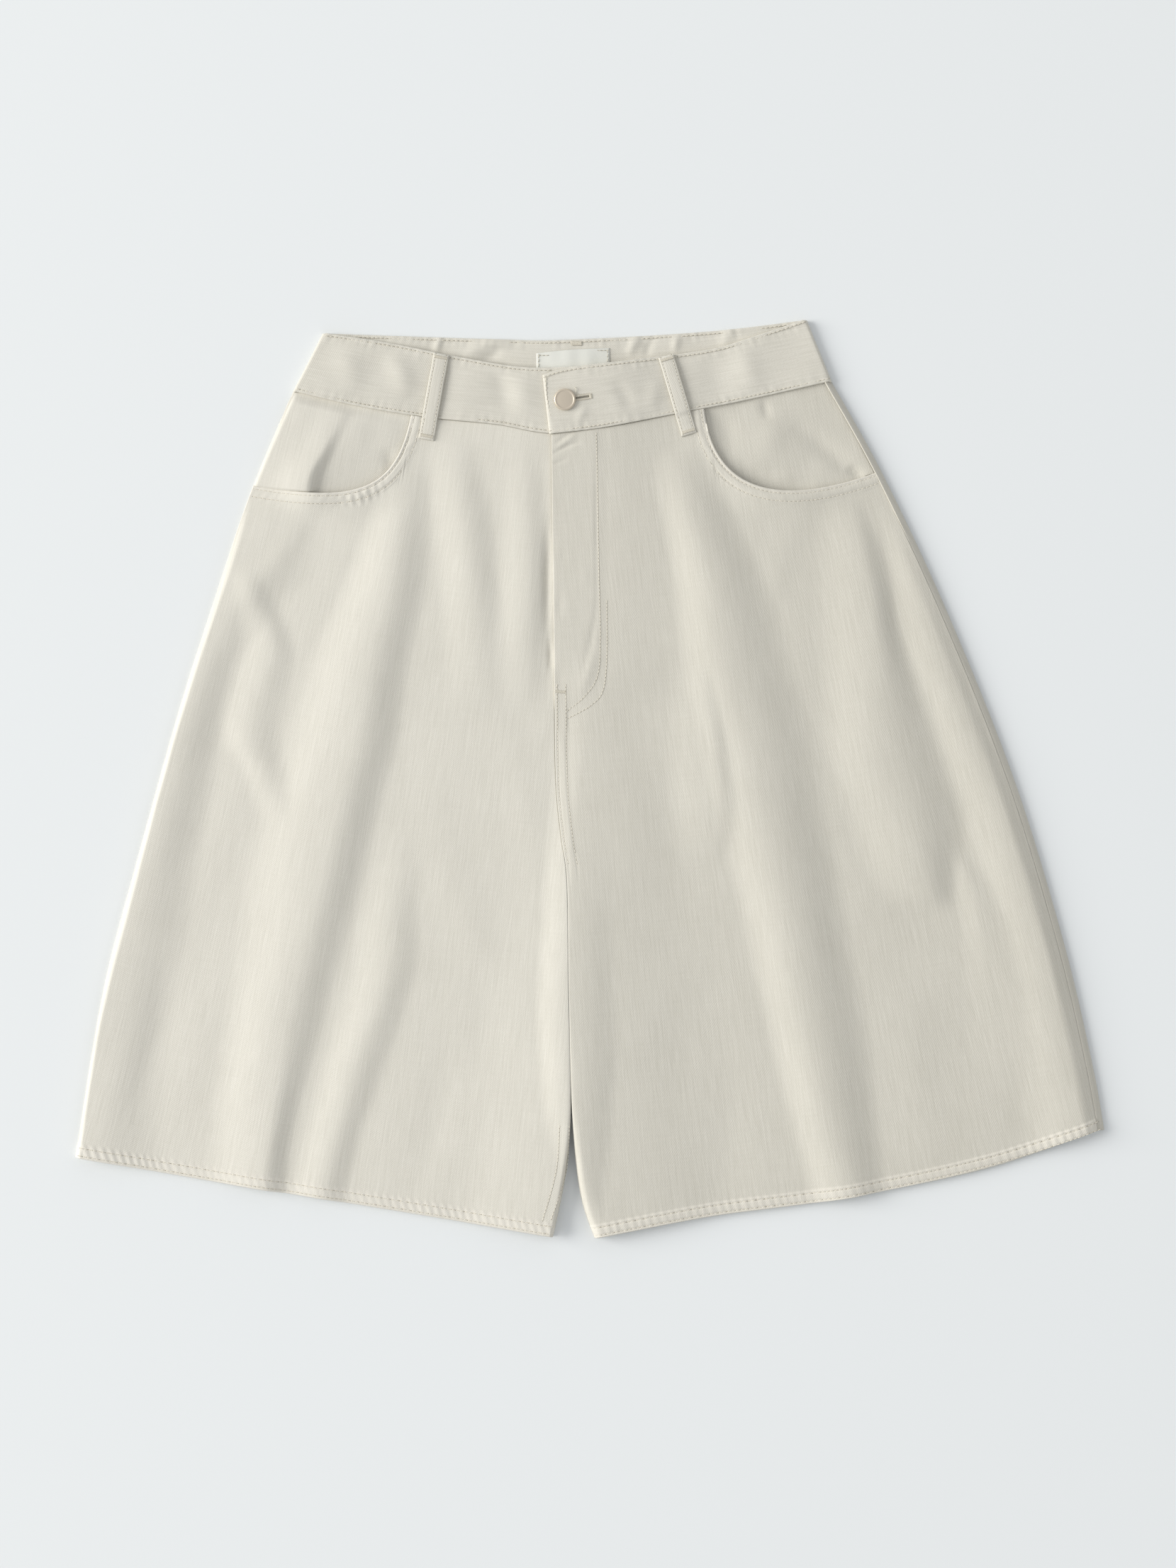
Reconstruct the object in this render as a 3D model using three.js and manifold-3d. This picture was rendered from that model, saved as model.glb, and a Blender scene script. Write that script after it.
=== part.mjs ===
// Wide-leg denim shorts laid flat: front up, waist towards +Y, resting on the table at Z = 0.
// Sizes are in millimetres. -X is the wearer's right, which a viewer looking down sees on the left.
// The cloth is walls: two front panels over two back panels, scoop pockets with a bearer and a bag, a fly
// shield, belt loops, and a waistband that runs once round the waist. Its left end is lapped over its right end
// and buttoned.
import * as THREE from "three";
import { mergeVertices } from "three/addons/utils/BufferGeometryUtils.js";
import Module from "manifold-3d";

const wasm = await Module();
wasm.setup();

// Cloth and the way its layers lie on each other.
const CLOTH = 1.2; // one layer of denim
const BAND_CLOTH = 2.2; // the waistband: two layers with their edges turned in
const BAG_CLOTH = 0.8; // pocket bag cotton
const HEM_CLOTH = 1.9; // the hem, turned twice and pressed
const SEAM_GAP = 0.3;
const FRONT_LIFT = 3.1; // underside of the front over the table, where no fold lifts it
const FOLD_TOP = 5.8; // no fold stands higher than this
const BACK_SHARE = 0.66; // the share of each fold that the back panel under it follows

// Waist and closure.
const CLOSURE_X = -12;
const CLOSURE_REACH = 120;
const WAIST_LIFT = 1.9; // the lapped ends hold the front up here
const UNDERLAP_X = 14; // the end of the waistband that lies under the other
const LAP_FADE = 42; // how far past the underlap the left end takes to come down
const WAIST_EASE = [180, 262]; // between these heights up the garment the closure's lift sets in
const BACK_EASE = [215, 255]; // and the back waistband's lift over its belt loop
const FLY_FOOT_Y = 48; // the fly's curved stitching runs into the crotch seam here
const FLY_CURVE = 36; // height of that curve
const FLY_WIDTH = 34;
const FLY_RELIEF = 0.8; // the facing behind the fly shows through as this step
const RELIEF_EDGE = 3; // over this distance that step comes down
const FLY_EASE = [12, 60]; // between these places across, the fly's raised side comes down
const FLY_RISE = 6; // the fly starts to rise this far below its foot
const SHIELD_TOP_Y = 240.5;
const SHIELD_FOOT_Y = 74;
const CROTCH_Y = -52;
const CROTCH_EASE = [-16, 20]; // between these distances below the crotch the inner edges set in
const FELL_WIDTH = 7; // the crotch seam's felled, twice stitched ridge

// The edges of the garment as it lies, each a list of [x, y] for a smooth curve from the waist down.
const SIDE_RIGHT = [
  [-209.5, 273], [-240, 202], [-266, 125], [-290, 50], [-318, -50], [-344, -150], [-363.3, -266],
];
const SIDE_LEFT = [[169.5, 280], [205, 216], [250, 120], [298, 0], [333, -115], [353, -200], [361.5, -247]];
const CENTRE_FRONT = [[-28.2, 243], [-27.3, 150], [-26.3, 72], [-25.2, 0], [-21.5, -40]];
const CENTRE_BACK = [[-10.8, 268], [-12.5, 150], [-14.5, 40], [-16.5, -30]];
const INNER_RIGHT = [[-17.3, -72], [-16, -150], [-14.5, -232], [-18.5, -280], [-27, -322]];
const INNER_LEFT = [[-17.3, -72], [-16, -150], [-13.5, -238], [-8, -292], [2, -323]];
const HEM_RIGHT = [[-27, -322], [-67, -315.5], [-167, -299], [-267, -283], [-363.3, -266]];
const HEM_LEFT = [[2, -323], [83, -308], [183, -294.5], [283, -273], [361.5, -247]];
const SEAM_INSET = 5; // the left side seam lies this far in from the edge, where the back turns over it
const EDGE_GAP = 0.25; // half of the gap between the two legs, and between panels at the centre

// The waistband's edges, on the front from the right side, on the front from the lapped end, and on the back.
const BAND_TOP_RIGHT = [[-187, 314.3], [-142, 307.3], [-92, 297.3], [-42, 289.8], [UNDERLAP_X, 292.5]];
const BAND_LOW_RIGHT = [
  [-208, 273], [-167, 263.3], [-117, 255], [-67, 249.8], [-28, 243.5], [UNDERLAP_X, 249],
];
const BAND_TOP_LEFT = [[-34.5, 284.3], [-17, 289.3], [33, 295.8], [83, 302.8], [108, 309.8], [149, 323.6]];
const BAND_LOW_LEFT = [[-29.8, 242.8], [8, 247.3], [58, 257], [108, 266.8], [167, 280]];
const BAND_TOP_BACK = [[-187, 314.3], [-67, 310.3], [-17, 309.8], [83, 315.8], [149, 323.6]];
const BAND_LOW_BACK = [[-208, 273], [-110, 269.5], [-10, 268], [90, 272], [167, 280]];
const BAND_TURN = 2.6; // how far the waistband's turn stands out past its edges at each side

// Each pocket's opening is a cubic curve from the waistband down to the side seam.
const POCKET_RIGHT = { startX: -127, bend: [[-137, 208], [-158, 192]], endY: 207 };
const POCKET_LEFT = { startX: 79.3, bend: [[84, 218], [112, 184]], endY: 216 };
const POCKET_TUCK = 14; // how far the bearer goes on behind the pocket's edge
const BEARER_INSET = 8; // and how far it stops short of the seam there
const BEARER_FOOT = [1.6, 0.6]; // its foot's depth below the opening at its inner and outer end, in tucks
const BEARER_SLANT = 4; // how far its inner edge leans outwards
const BAG_LOW_Y = 92;
const BAG_CORNER = 16; // how far the bag's lower corners are rounded up
const BAG_INSET = [10, 24]; // the bag's sides lie this far in from the opening's inner and outer end
const BAG_BELOW = [2, 5]; // how far the bag starts below the bearer at its inner and outer end
const BAG_SINK = 0.5; // its outside lies this far under the front's inside

// Folds, from the wearer's right to the left. Each runs down the panel through its stations at (x, y).
// It rises by `rise` over `left` millimetres on its left and falls over `right` millimetres on its right.
const FOLDS = [
  {
    name: "right edge",
    y: [130, 24, -100, -262],
    x: [-256, -289, -320, -353],
    left: [8, 8, 14, 16],
    right: [24, 34, 50, 58],
    rise: [0, 4.2, 4.6, 4.6],
  },
  {
    name: "right thigh",
    y: [150, 100, 48, 0, -25],
    x: [-232, -224, -239, -229, -222],
    left: [16, 20, 20, 20, 14],
    right: [14, 18, 22, 16, 12],
    rise: [0, 2.4, 2.2, 1.8, 0],
  },
  {
    name: "right long",
    y: [215, 125, 24, -100, -290],
    x: [-128, -145, -165, -195, -231],
    left: [24, 36, 46, 50, 42],
    right: [22, 30, 36, 30, 18],
    rise: [0, 4.6, 5.4, 5.4, 4.4],
  },
  {
    name: "right lower",
    y: [-35, -100, -175, -290],
    x: [-124, -140, -156, -188],
    left: [20, 26, 28, 26],
    right: [24, 22, 18, 16],
    rise: [0, 3.6, 4, 3.2],
  },
  {
    name: "right front",
    y: [235, 170, 100, 40],
    x: [-92, -82, -80, -84],
    left: [22, 24, 26, 26],
    right: [20, 22, 24, 26],
    rise: [0, 1.6, 1.4, 0],
  },
  {
    name: "right inseam",
    y: [-20, -110, -220, -322],
    x: [-20, -19, -18, -30],
    left: [40, 60, 74, 80],
    right: [30, 30, 30, 30],
    rise: [0, 2.4, 4.4, 5.2],
  },
  {
    name: "left inseam",
    y: [90, 0, -110, -210, -324],
    x: [14, 8, -4, 3, 12],
    left: [24, 20, 14, 16, 16],
    right: [60, 80, 96, 104, 96],
    rise: [0, 2.6, 4.4, 5.2, 4.8],
  },
  {
    name: "left long",
    y: [225, 125, 24, -75, -175, -300],
    x: [66, 90, 115, 137, 157, 184],
    left: [26, 34, 44, 38, 34, 30],
    right: [26, 46, 46, 44, 42, 26],
    rise: [0, 4.8, 5.6, 5.6, 5.4, 4.2],
  },
  {
    name: "left lobe",
    y: [90, 40, -10, -60],
    x: [74, 82, 88, 86],
    left: [22, 34, 38, 30],
    right: [12, 12, 16, 16],
    rise: [0, 2.4, 2.6, 0],
  },
  {
    name: "left thigh",
    y: [190, 125, 50, -30, -85],
    x: [188, 197, 205, 222, 238],
    left: [36, 44, 46, 48, 30],
    right: [16, 22, 42, 44, 26],
    rise: [0, 3.6, 4.8, 4.6, 0],
  },
  {
    name: "left lower",
    y: [-60, -96, -150, -210],
    x: [262, 277, 291, 296],
    left: [16, 20, 30, 34],
    right: [10, 13, 14, 14],
    rise: [0, 2.2, 2.4, 0],
  },
  {
    name: "left edge",
    y: [190, 100, 0, -100, -250],
    x: [214, 246, 284, 317, 351],
    left: [12, 20, 26, 32, 44],
    right: [40, 40, 40, 40, 40],
    rise: [0, 4.6, 5.2, 5.2, 4.6],
  },
];

// How the front's outside turns down at an edge: over `reach` it comes down to `height`.
const EDGE_HEIGHT = 2 * CLOTH + SEAM_GAP;
const TURN_SIDE_RIGHT = { reach: 9, height: EDGE_HEIGHT, hem: 2, round: true };
const TURN_SIDE_LEFT = { reach: 10, height: 4.7, hem: 1, round: false };
const TURN_INNER_RIGHT = { reach: 5, height: EDGE_HEIGHT, hem: 2, round: true };
const TURN_INNER_LEFT = { reach: 9, height: EDGE_HEIGHT, hem: 2, round: true };
const CURL_RADIUS = 2.2; // of the back panel where it turns up and over at the left side
const CURL_RISE = 0.2; // from the top of that turn to its end at the seam
const BEARER_DROP = 0.4; // the bearer's outer edge lies this far under the front's, at the left side

// Belt loops: the middle of the top end and of the lower end, on the front of the waistband.
const LOOP_WIDTH = 11;
const LOOP_CLOTH = 1.6;
const LOOP_STAND_OFF = 0.9; // at the middle of its length
const LOOP_SINK = 0.6; // its lower end is pressed this far into the front
const LOOPS = [
  { name: "belt_loop_right", top: [-105.5, 299.5], low: [-116.5, 239] },
  { name: "belt_loop_left", top: [52.3, 298], low: [68.8, 242.5] },
];
const BACK_LOOP = { x: -10.8, top: 309, low: 256, cloth: 1 };
const BACK_LOOP_EASE = 34; // over this distance the back waistband rises on to its loop

// Label inside the back waistband, and the button that closes the front.
const LABEL = { x: -13, top: 302, width: 51.5, height: 28, cloth: 0.4, tilt: 0.068 };
const BUTTON = { x: -18.8, y: 266.8, radius: 7.6, cap: 2.4, stem: 2.1 };
const BUTTONHOLE = { length: 20, rise: 2.8, width: 1.6, eyelet: 2.6 };

const ECRU = { color: 0xe4e0d4, roughness: 0.93, metalness: 0 };
const BAG = { color: 0xe9e6dd, roughness: 0.95, metalness: 0 };
const SATIN = { color: 0xe6e6dc, roughness: 0.55, metalness: 0 };
const NICKEL = { color: 0xc9bba6, roughness: 0.35, metalness: 0.9 };

const { clamp, lerp, smoothstep } = THREE.MathUtils;
const bell = (q) => (Math.abs(q) < 1 ? 0.5 + 0.5 * Math.cos(Math.PI * q) : 0);

// A smooth curve through [x, y] points, as a function of its share of length.
function curve(points) {
  const spline = new THREE.SplineCurve(points.map(([x, y]) => new THREE.Vector2(x, y)));
  return (t) => spline.getPointAt(clamp(t, 0, 1));
}

function bezier(points) {
  const path = new THREE.CubicBezierCurve(...points.map(([x, y]) => new THREE.Vector2(x, y)));
  return (t) => path.getPointAt(clamp(t, 0, 1));
}

// Where a curve that runs down the garment is at height y, as a share of its length.
function shareAtY(path, y) {
  let [low, high] = [0, 1];
  for (let i = 0; i < 40; i++) {
    const middle = (low + high) / 2;
    if (path(middle).y > y) low = middle;
    else high = middle;
  }
  return low;
}

// Where a curve that runs across the garment is at x, when it runs towards +X or -X.
function shareAtX(path, x) {
  const rising = path(1).x > path(0).x;
  let [low, high] = [0, 1];
  for (let i = 0; i < 40; i++) {
    const middle = (low + high) / 2;
    if (path(middle).x < x === rising) low = middle;
    else high = middle;
  }
  return low;
}

const part = (path, from, to) => (t) => path(lerp(from, to, t));
const chain = (first, second, share) => (t) => {
  return t < share ? first(t / share) : second((t - share) / (1 - share));
};
const shifted = (path, dx, dy) => (t) => path(t).clone().add(new THREE.Vector2(dx, dy));

// The same curve, eased over its length so that it starts and ends at two given points.
function between(path, start, end) {
  const [atStart, atEnd] = [start.clone().sub(path(0)), end.clone().sub(path(1))];
  return (t) => path(t).clone().addScaledVector(atStart, 1 - t).addScaledVector(atEnd, t);
}

// A patch between four curves: across its top and bottom, and down its inner and outer edge.
function patch(top, low, innerPath, outerPath) {
  const corners = [top(0), top(1), low(0), low(1)];
  const inner = between(innerPath, top(0), low(0));
  const outer = between(outerPath, top(1), low(1));
  return (u, v) => {
    const across = top(u).clone().lerp(low(u), v);
    const down = inner(v).clone().lerp(outer(v), u);
    const flatTop = corners[0].clone().lerp(corners[1], u);
    const flatLow = corners[2].clone().lerp(corners[3], u);
    return across.add(down).sub(flatTop.lerp(flatLow, v));
  };
}

// A smooth run of values through stations that go down in y.
function through(stations, values, y) {
  const last = stations.length - 1;
  if (y >= stations[0]) return values[0];
  if (y <= stations[last]) return values[last];
  const i = stations.findIndex((_, k) => y > stations[k + 1]);
  const slope = (k) => {
    const [a, b] = [Math.max(0, k - 1), Math.min(last, k + 1)];
    return (values[b] - values[a]) / (stations[b] - stations[a]);
  };
  const span = stations[i + 1] - stations[i];
  const t = (y - stations[i]) / span;
  const [start, end] = [values[i] + slope(i) * span * t, values[i + 1] - slope(i + 1) * span * (1 - t)];
  return lerp(start, end, t * t * (3 - 2 * t));
}

// How high the folds stand at a point.
function foldHeight(x, y) {
  let sum = 0;
  for (const fold of FOLDS) {
    if (y > fold.y[0]) continue;
    const away = x - through(fold.y, fold.x, y);
    const reach = through(fold.y, away < 0 ? fold.left : fold.right, y);
    sum += Math.max(0, through(fold.y, fold.rise, y)) * bell(away / reach);
  }
  return FOLD_TOP * Math.tanh(sum / FOLD_TOP);
}

// The front is held up near the closure by the lapped ends of the waistband.
function waistLift(x, y) {
  return WAIST_LIFT * bell((x - CLOSURE_X) / CLOSURE_REACH) * smoothstep(y, ...WAIST_EASE);
}

// The front's outer surface, away from its edges.
function frontSurface(x, y) {
  return FRONT_LIFT + CLOTH + foldHeight(x, y) + waistLift(x, y);
}

// A height brought down near an edge that is `distance` away.
function turnedDown(height, turn, distance, atHem = false) {
  if (distance >= turn.reach) return height;
  const s = Math.max(0, distance) / turn.reach;
  const share = turn.round ? Math.sqrt(1 - (1 - s) ** 2) : Math.sin((Math.PI / 2) * s);
  const edge = turn.height + (atHem ? turn.hem * (HEM_CLOTH - CLOTH) : 0);
  return lerp(edge, height, share);
}

// A grid of points over a patch, `height` above each.
function surface(points, us, vs, height) {
  return vs.map((v) => us.map((u) => {
    const p = points(u, v);
    return new THREE.Vector3(p.x, p.y, height(p.x, p.y, u, v));
  }));
}

const spread = (count) => Array.from({ length: count + 1 }, (_, i) => i / count);

// Normals of a grid, by differences along its rows and columns.
function normalsOf(grid) {
  const [rows, columns] = [grid.length, grid[0].length];
  return grid.map((row, i) => row.map((_, j) => {
    const along = grid[i][Math.min(j + 1, columns - 1)].clone().sub(grid[i][Math.max(j - 1, 0)]);
    const down = grid[Math.min(i + 1, rows - 1)][j].clone().sub(grid[Math.max(i - 1, 0)][j]);
    return along.cross(down).normalize();
  }));
}

// A closed wall of cloth. `outer` is a grid on its outside; the inside lies `thickness` behind it.
// `facing` is 1 where the grid's own normals point out of the cloth, and -1 where they point into it.
function wall(outer, thickness, facing) {
  const normals = normalsOf(outer);
  const depth = (i, j) => (typeof thickness === "function" ? thickness(i, j) : thickness);
  const inner = outer.map((row, i) => row.map((p, j) => {
    return p.clone().addScaledVector(normals[i][j], -facing * depth(i, j));
  }));
  return closed(outer, inner, facing);
}

function closed(outer, inner, facing) {
  const [rows, columns] = [outer.length, outer[0].length];
  const at = (i, j, behind) => (behind ? rows * columns : 0) + i * columns + j;
  const faces = [];
  const quad = (a, b, c, d) => faces.push(...(facing > 0 ? [a, b, c, a, c, d] : [a, c, b, a, d, c]));
  for (let i = 0; i + 1 < rows; i++) {
    for (let j = 0; j + 1 < columns; j++) {
      quad(at(i, j), at(i, j + 1), at(i + 1, j + 1), at(i + 1, j));
      quad(at(i, j, 1), at(i + 1, j, 1), at(i + 1, j + 1, 1), at(i, j + 1, 1));
    }
  }
  for (let j = 0; j + 1 < columns; j++) {
    quad(at(0, j), at(0, j, 1), at(0, j + 1, 1), at(0, j + 1));
    quad(at(rows - 1, j), at(rows - 1, j + 1), at(rows - 1, j + 1, 1), at(rows - 1, j, 1));
  }
  for (let i = 0; i + 1 < rows; i++) {
    quad(at(i, 0), at(i + 1, 0), at(i + 1, 0, 1), at(i, 0, 1));
    quad(at(i, columns - 1), at(i, columns - 1, 1), at(i + 1, columns - 1, 1), at(i + 1, columns - 1));
  }
  const geometry = new THREE.BufferGeometry().setFromPoints([...outer.flat(), ...inner.flat()]);
  return geometry.setIndex(faces);
}

// Geometry with merged vertices as a manifold-3d solid, and back.
function solidOf(geometry) {
  const plain = new THREE.BufferGeometry().setAttribute("position", geometry.getAttribute("position"));
  if (geometry.index) plain.setIndex(geometry.index);
  const merged = mergeVertices(plain, 1e-3);
  return new wasm.Manifold(new wasm.Mesh({
    numProp: 3,
    vertProperties: merged.attributes.position.array,
    triVerts: new Uint32Array(merged.index.array),
  }));
}

function geometryOf(solid) {
  const mesh = solid.getMesh();
  return new THREE.BufferGeometry()
    .setAttribute("position", new THREE.BufferAttribute(mesh.vertProperties, 3))
    .setIndex(new THREE.BufferAttribute(mesh.triVerts, 1));
}

// Both legs' curves. `out` is the way from the centre to the side.
function legOf({ out, side, front, back, hem, bandLow, pocket, turnSide, turnInner }) {
  const seam = out > 0 ? shifted(curve(side), -SEAM_INSET - 3 * SEAM_GAP, 0) : curve(side);
  const low = curve(bandLow);
  const start = low(shareAtX(low, pocket.startX));
  const end = seam(shareAtY(seam, pocket.endY));
  return {
    out,
    facing: -out,
    side: curve(side),
    seam,
    hem: curve(hem),
    inner: curve(front),
    backInner: curve(back),
    bandLow: low,
    pocket: bezier([start.toArray(), ...pocket.bend, end.toArray()]),
    turnSide,
    turnInner,
  };
}

const LEGS = {
  right: legOf({
    out: -1,
    side: SIDE_RIGHT,
    front: [...CENTRE_FRONT, ...INNER_RIGHT],
    back: [...CENTRE_BACK, ...INNER_RIGHT],
    hem: HEM_RIGHT,
    bandLow: BAND_LOW_RIGHT,
    pocket: POCKET_RIGHT,
    turnSide: TURN_SIDE_RIGHT,
    turnInner: TURN_INNER_RIGHT,
  }),
  left: legOf({
    out: 1,
    side: SIDE_LEFT,
    front: [...CENTRE_FRONT, ...INNER_LEFT],
    back: [...CENTRE_BACK, ...INNER_LEFT],
    hem: HEM_LEFT,
    bandLow: BAND_LOW_LEFT,
    pocket: POCKET_LEFT,
    turnSide: TURN_SIDE_LEFT,
    turnInner: TURN_INNER_LEFT,
  }),
};

const xAtY = (path, y) => path(shareAtY(path, y)).x;

// The fly's left side lies over the shield, and comes down to the cloth beside it.
function flyLift(x, y) {
  const upFly = smoothstep(y, FLY_FOOT_Y - FLY_RISE, SHIELD_FOOT_Y);
  return (CLOTH + SEAM_GAP) * (1 - smoothstep(x, ...FLY_EASE)) * upFly;
}

// The relief of the facing behind the fly, and of the felled crotch seam below it.
function flyRelief(x, y) {
  const fromEdge = x - xAtY(LEGS.left.inner, y);
  const width = FLY_WIDTH * Math.sqrt(clamp((y - FLY_FOOT_Y) / FLY_CURVE, 0, 1));
  const facing = y > FLY_FOOT_Y ? 1 - smoothstep(fromEdge, width - 2, width + RELIEF_EDGE) : 0;
  const fell = y > CROTCH_Y ? 1 - smoothstep(fromEdge, FELL_WIDTH, FELL_WIDTH + RELIEF_EDGE) : 0;
  return FLY_RELIEF * Math.max(facing, fell);
}

// Rows down a panel, one of them on each side of the hem's step, and columns, one at the pocket's corner.
const HEM_SHARE = 0.982;
const WAIST_SHARE = 0.43;
const steps = (from, to, count) => spread(count).map((t) => lerp(from, to, t));
const FRONT_ROWS = [0, 0.012, ...steps(0.04, 0.965, 22), HEM_SHARE - 0.002, HEM_SHARE + 0.002, 1];
const FRONT_COLUMNS = [
  0, 0.012, 0.035, ...steps(0.07, WAIST_SHARE, 7), ...steps(WAIST_SHARE, 0.93, 10).slice(1), 0.965, 0.988, 1,
];

function frontPanel(leg) {
  const { inner, seam, hem, bandLow, pocket, turnSide, turnInner, out } = leg;
  const waist = part(bandLow, shareAtX(bandLow, inner(0).x + EDGE_GAP * out), shareAtX(bandLow, pocket(0).x));
  const top = shifted(chain(waist, pocket, WAIST_SHARE), 0, -SEAM_GAP);
  const innerEdge = shifted(inner, EDGE_GAP * out, 0);
  const outerEdge = part(seam, shareAtY(seam, pocket(1).y), 1);
  const low = between(hem, hem(0).clone().add(new THREE.Vector2(EDGE_GAP * out, 0)), outerEdge(1));
  const height = (x, y, u, v) => {
    const atHem = v > HEM_SHARE;
    const relief = out > 0 ? flyRelief(x, y) + flyLift(x, y) : 0;
    const full = frontSurface(x, y) + relief + (atHem ? HEM_CLOTH - CLOTH : 0);
    const sideDown = turnedDown(full, turnSide, Math.abs(xAtY(seam, y) - x), atHem);
    const innerDown = turnedDown(sideDown, turnInner, Math.abs(x - xAtY(inner, y)), atHem);
    return lerp(sideDown, innerDown, smoothstep(CROTCH_Y - y, ...CROTCH_EASE));
  };
  const outer = surface(patch(top, low, innerEdge, outerEdge), FRONT_COLUMNS, FRONT_ROWS, height);
  const thickness = (i, j) => {
    const relief = out > 0 ? flyRelief(outer[i][j].x, outer[i][j].y) : 0;
    return (FRONT_ROWS[i] > HEM_SHARE ? HEM_CLOTH : CLOTH) + relief;
  };
  return wall(outer, thickness, leg.facing);
}

// The back panel rests on the table and follows its share of the folds. The left one turns up over its side.
function backPanel(leg) {
  const { backInner, side, hem, out } = leg;
  const low = curve(BAND_LOW_BACK);
  const seamed = part(low, shareAtX(low, backInner(0).x + EDGE_GAP * out), out < 0 ? 0 : 1);
  const top = shifted(seamed, 0, -2 * SEAM_GAP);
  const innerEdge = shifted(backInner, EDGE_GAP * out, 0);
  const flatSide = out > 0 ? shifted(side, -CURL_RADIUS, 0) : side;
  const hemEdge = between(hem, hem(0).clone().add(new THREE.Vector2(EDGE_GAP * out, 0)), flatSide(1));
  const topEdge = between(top, top(0), new THREE.Vector2(flatSide(0).x, top(1).y));
  const rest = (x, y, u) => {
    const folds = BACK_SHARE * foldHeight(x, y) * smoothstep(1 - u, 0.02, 0.1) * smoothstep(u, 0.01, 0.08);
    return folds + backBandLift(x) * smoothstep(y, ...BACK_EASE);
  };
  const rows = [...steps(0, HEM_SHARE - 0.002, 17), HEM_SHARE + 0.002, 1];
  const columns = [0, 0.02, ...steps(0.06, 0.92, 12), 0.97, 1];
  const outer = surface(patch(topEdge, hemEdge, innerEdge, flatSide), columns, rows, rest);
  if (out > 0) outer.forEach((row) => row.push(...curl(row[row.length - 1])));
  return wall(outer, (i) => (rows[i] > HEM_SHARE ? HEM_CLOTH : CLOTH), -leg.facing);
}

// The turn of the back panel's edge from the table up and over to the side seam, seen along the leg.
function curl(foot) {
  const quarter = Math.PI / 2;
  const points = [0.5, 1, 1.5, 2].map((k) => new THREE.Vector3(
    foot.x + CURL_RADIUS * Math.sin(k * quarter),
    foot.y,
    CURL_RADIUS - CURL_RADIUS * Math.cos(k * quarter),
  ));
  points.push(new THREE.Vector3(foot.x + CURL_RADIUS - SEAM_INSET, foot.y, 2 * CURL_RADIUS + CURL_RISE));
  return points;
}

// The bearer is the denim seen in the pocket's opening. It lies one layer under the front and goes on behind.
function pocketBearer(leg) {
  const { seam, bandLow, pocket, turnSide, out } = leg;
  const endY = pocket(1).y;
  const [innerY, footY] = BEARER_FOOT.map((share) => endY - POCKET_TUCK * share);
  const innerX = pocket(0).x - out * POCKET_TUCK;
  const seamed = part(bandLow, shareAtX(bandLow, innerX), shareAtX(bandLow, seam(0).x));
  const top = shifted(seamed, 0, -3 * SEAM_GAP);
  const foot = shareAtY(seam, footY);
  const outerEdge = (t) => {
    const p = seam(foot * t);
    return new THREE.Vector2(p.x - (p.y > endY ? 0 : out * BEARER_INSET), p.y);
  };
  const innerEdge = (t) => new THREE.Vector2(innerX + out * BEARER_SLANT * t, lerp(top(0).y, innerY, t));
  const low = (t) => innerEdge(1).lerp(outerEdge(1), t);
  const turn = { ...turnSide, height: turnSide.height - (turnSide.round ? 0 : BEARER_DROP) };
  const height = (x, y) => {
    const under = frontSurface(x, y) - CLOTH - SEAM_GAP;
    return turnedDown(under, turn, Math.abs(xAtY(seam, y) - x));
  };
  const columns = [...steps(0, 0.94, 10), 0.97, 0.99, 1];
  const rows = [...steps(0, shareAtY(seam, endY + 1) / foot, 6), shareAtY(seam, endY - 0.5) / foot, 1];
  const topEdge = between(top, top(0), new THREE.Vector2(seam(0).x, top(1).y));
  return wall(surface(patch(topEdge, low, innerEdge, outerEdge), columns, rows, height), CLOTH, leg.facing);
}

// The pocket bag hangs on below the bearer, inside the leg, halfway between the panels.
function pocketBag(leg) {
  const { pocket, out } = leg;
  const [start, end] = [pocket(0), pocket(1)];
  const ends = [start, end].map((corner, i) => corner.x - out * BAG_INSET[i]);
  const topY = BEARER_FOOT.map((share, i) => end.y - POCKET_TUCK * share - BAG_BELOW[i]);
  const top = (t) => new THREE.Vector2(lerp(...ends, t), lerp(...topY, t));
  const low = (t) => new THREE.Vector2(lerp(...ends, t), BAG_LOW_Y + BAG_CORNER * Math.abs(2 * t - 1) ** 3);
  const innerEdge = (t) => top(0).lerp(low(0), t);
  const outerEdge = (t) => top(1).lerp(low(1), t);
  const lie = (x, y) => FRONT_LIFT - BAG_SINK + lerp(BACK_SHARE, 1, 0.5) * foldHeight(x, y);
  const outer = surface(patch(top, low, innerEdge, outerEdge), spread(8), spread(8), lie);
  return wall(outer, BAG_CLOTH, leg.facing);
}

// The shield behind the fly carries on from the right front's edge, under the left front.
function flyShield() {
  const edge = (y) => xAtY(LEGS.left.inner, y);
  const place = (u, v) => {
    const y = lerp(SHIELD_TOP_Y, SHIELD_FOOT_Y, v);
    return new THREE.Vector2(lerp(edge(y) + EDGE_GAP, edge(y) + FLY_WIDTH, u), y);
  };
  return wall(surface(place, spread(4), spread(10), frontSurface), CLOTH, -1);
}

// Height of the waistband's outside on the front, away from its lapped end.
function bandFront(x) {
  return FRONT_LIFT + WAIST_LIFT * bell((x - CLOSURE_X) / CLOSURE_REACH) + BAND_CLOTH;
}

// How far the lapped end is raised over the underlap, and beside it.
function lapLift(x) {
  return (BAND_CLOTH + SEAM_GAP) * (1 - smoothstep(x, UNDERLAP_X, UNDERLAP_X + LAP_FADE));
}

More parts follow.
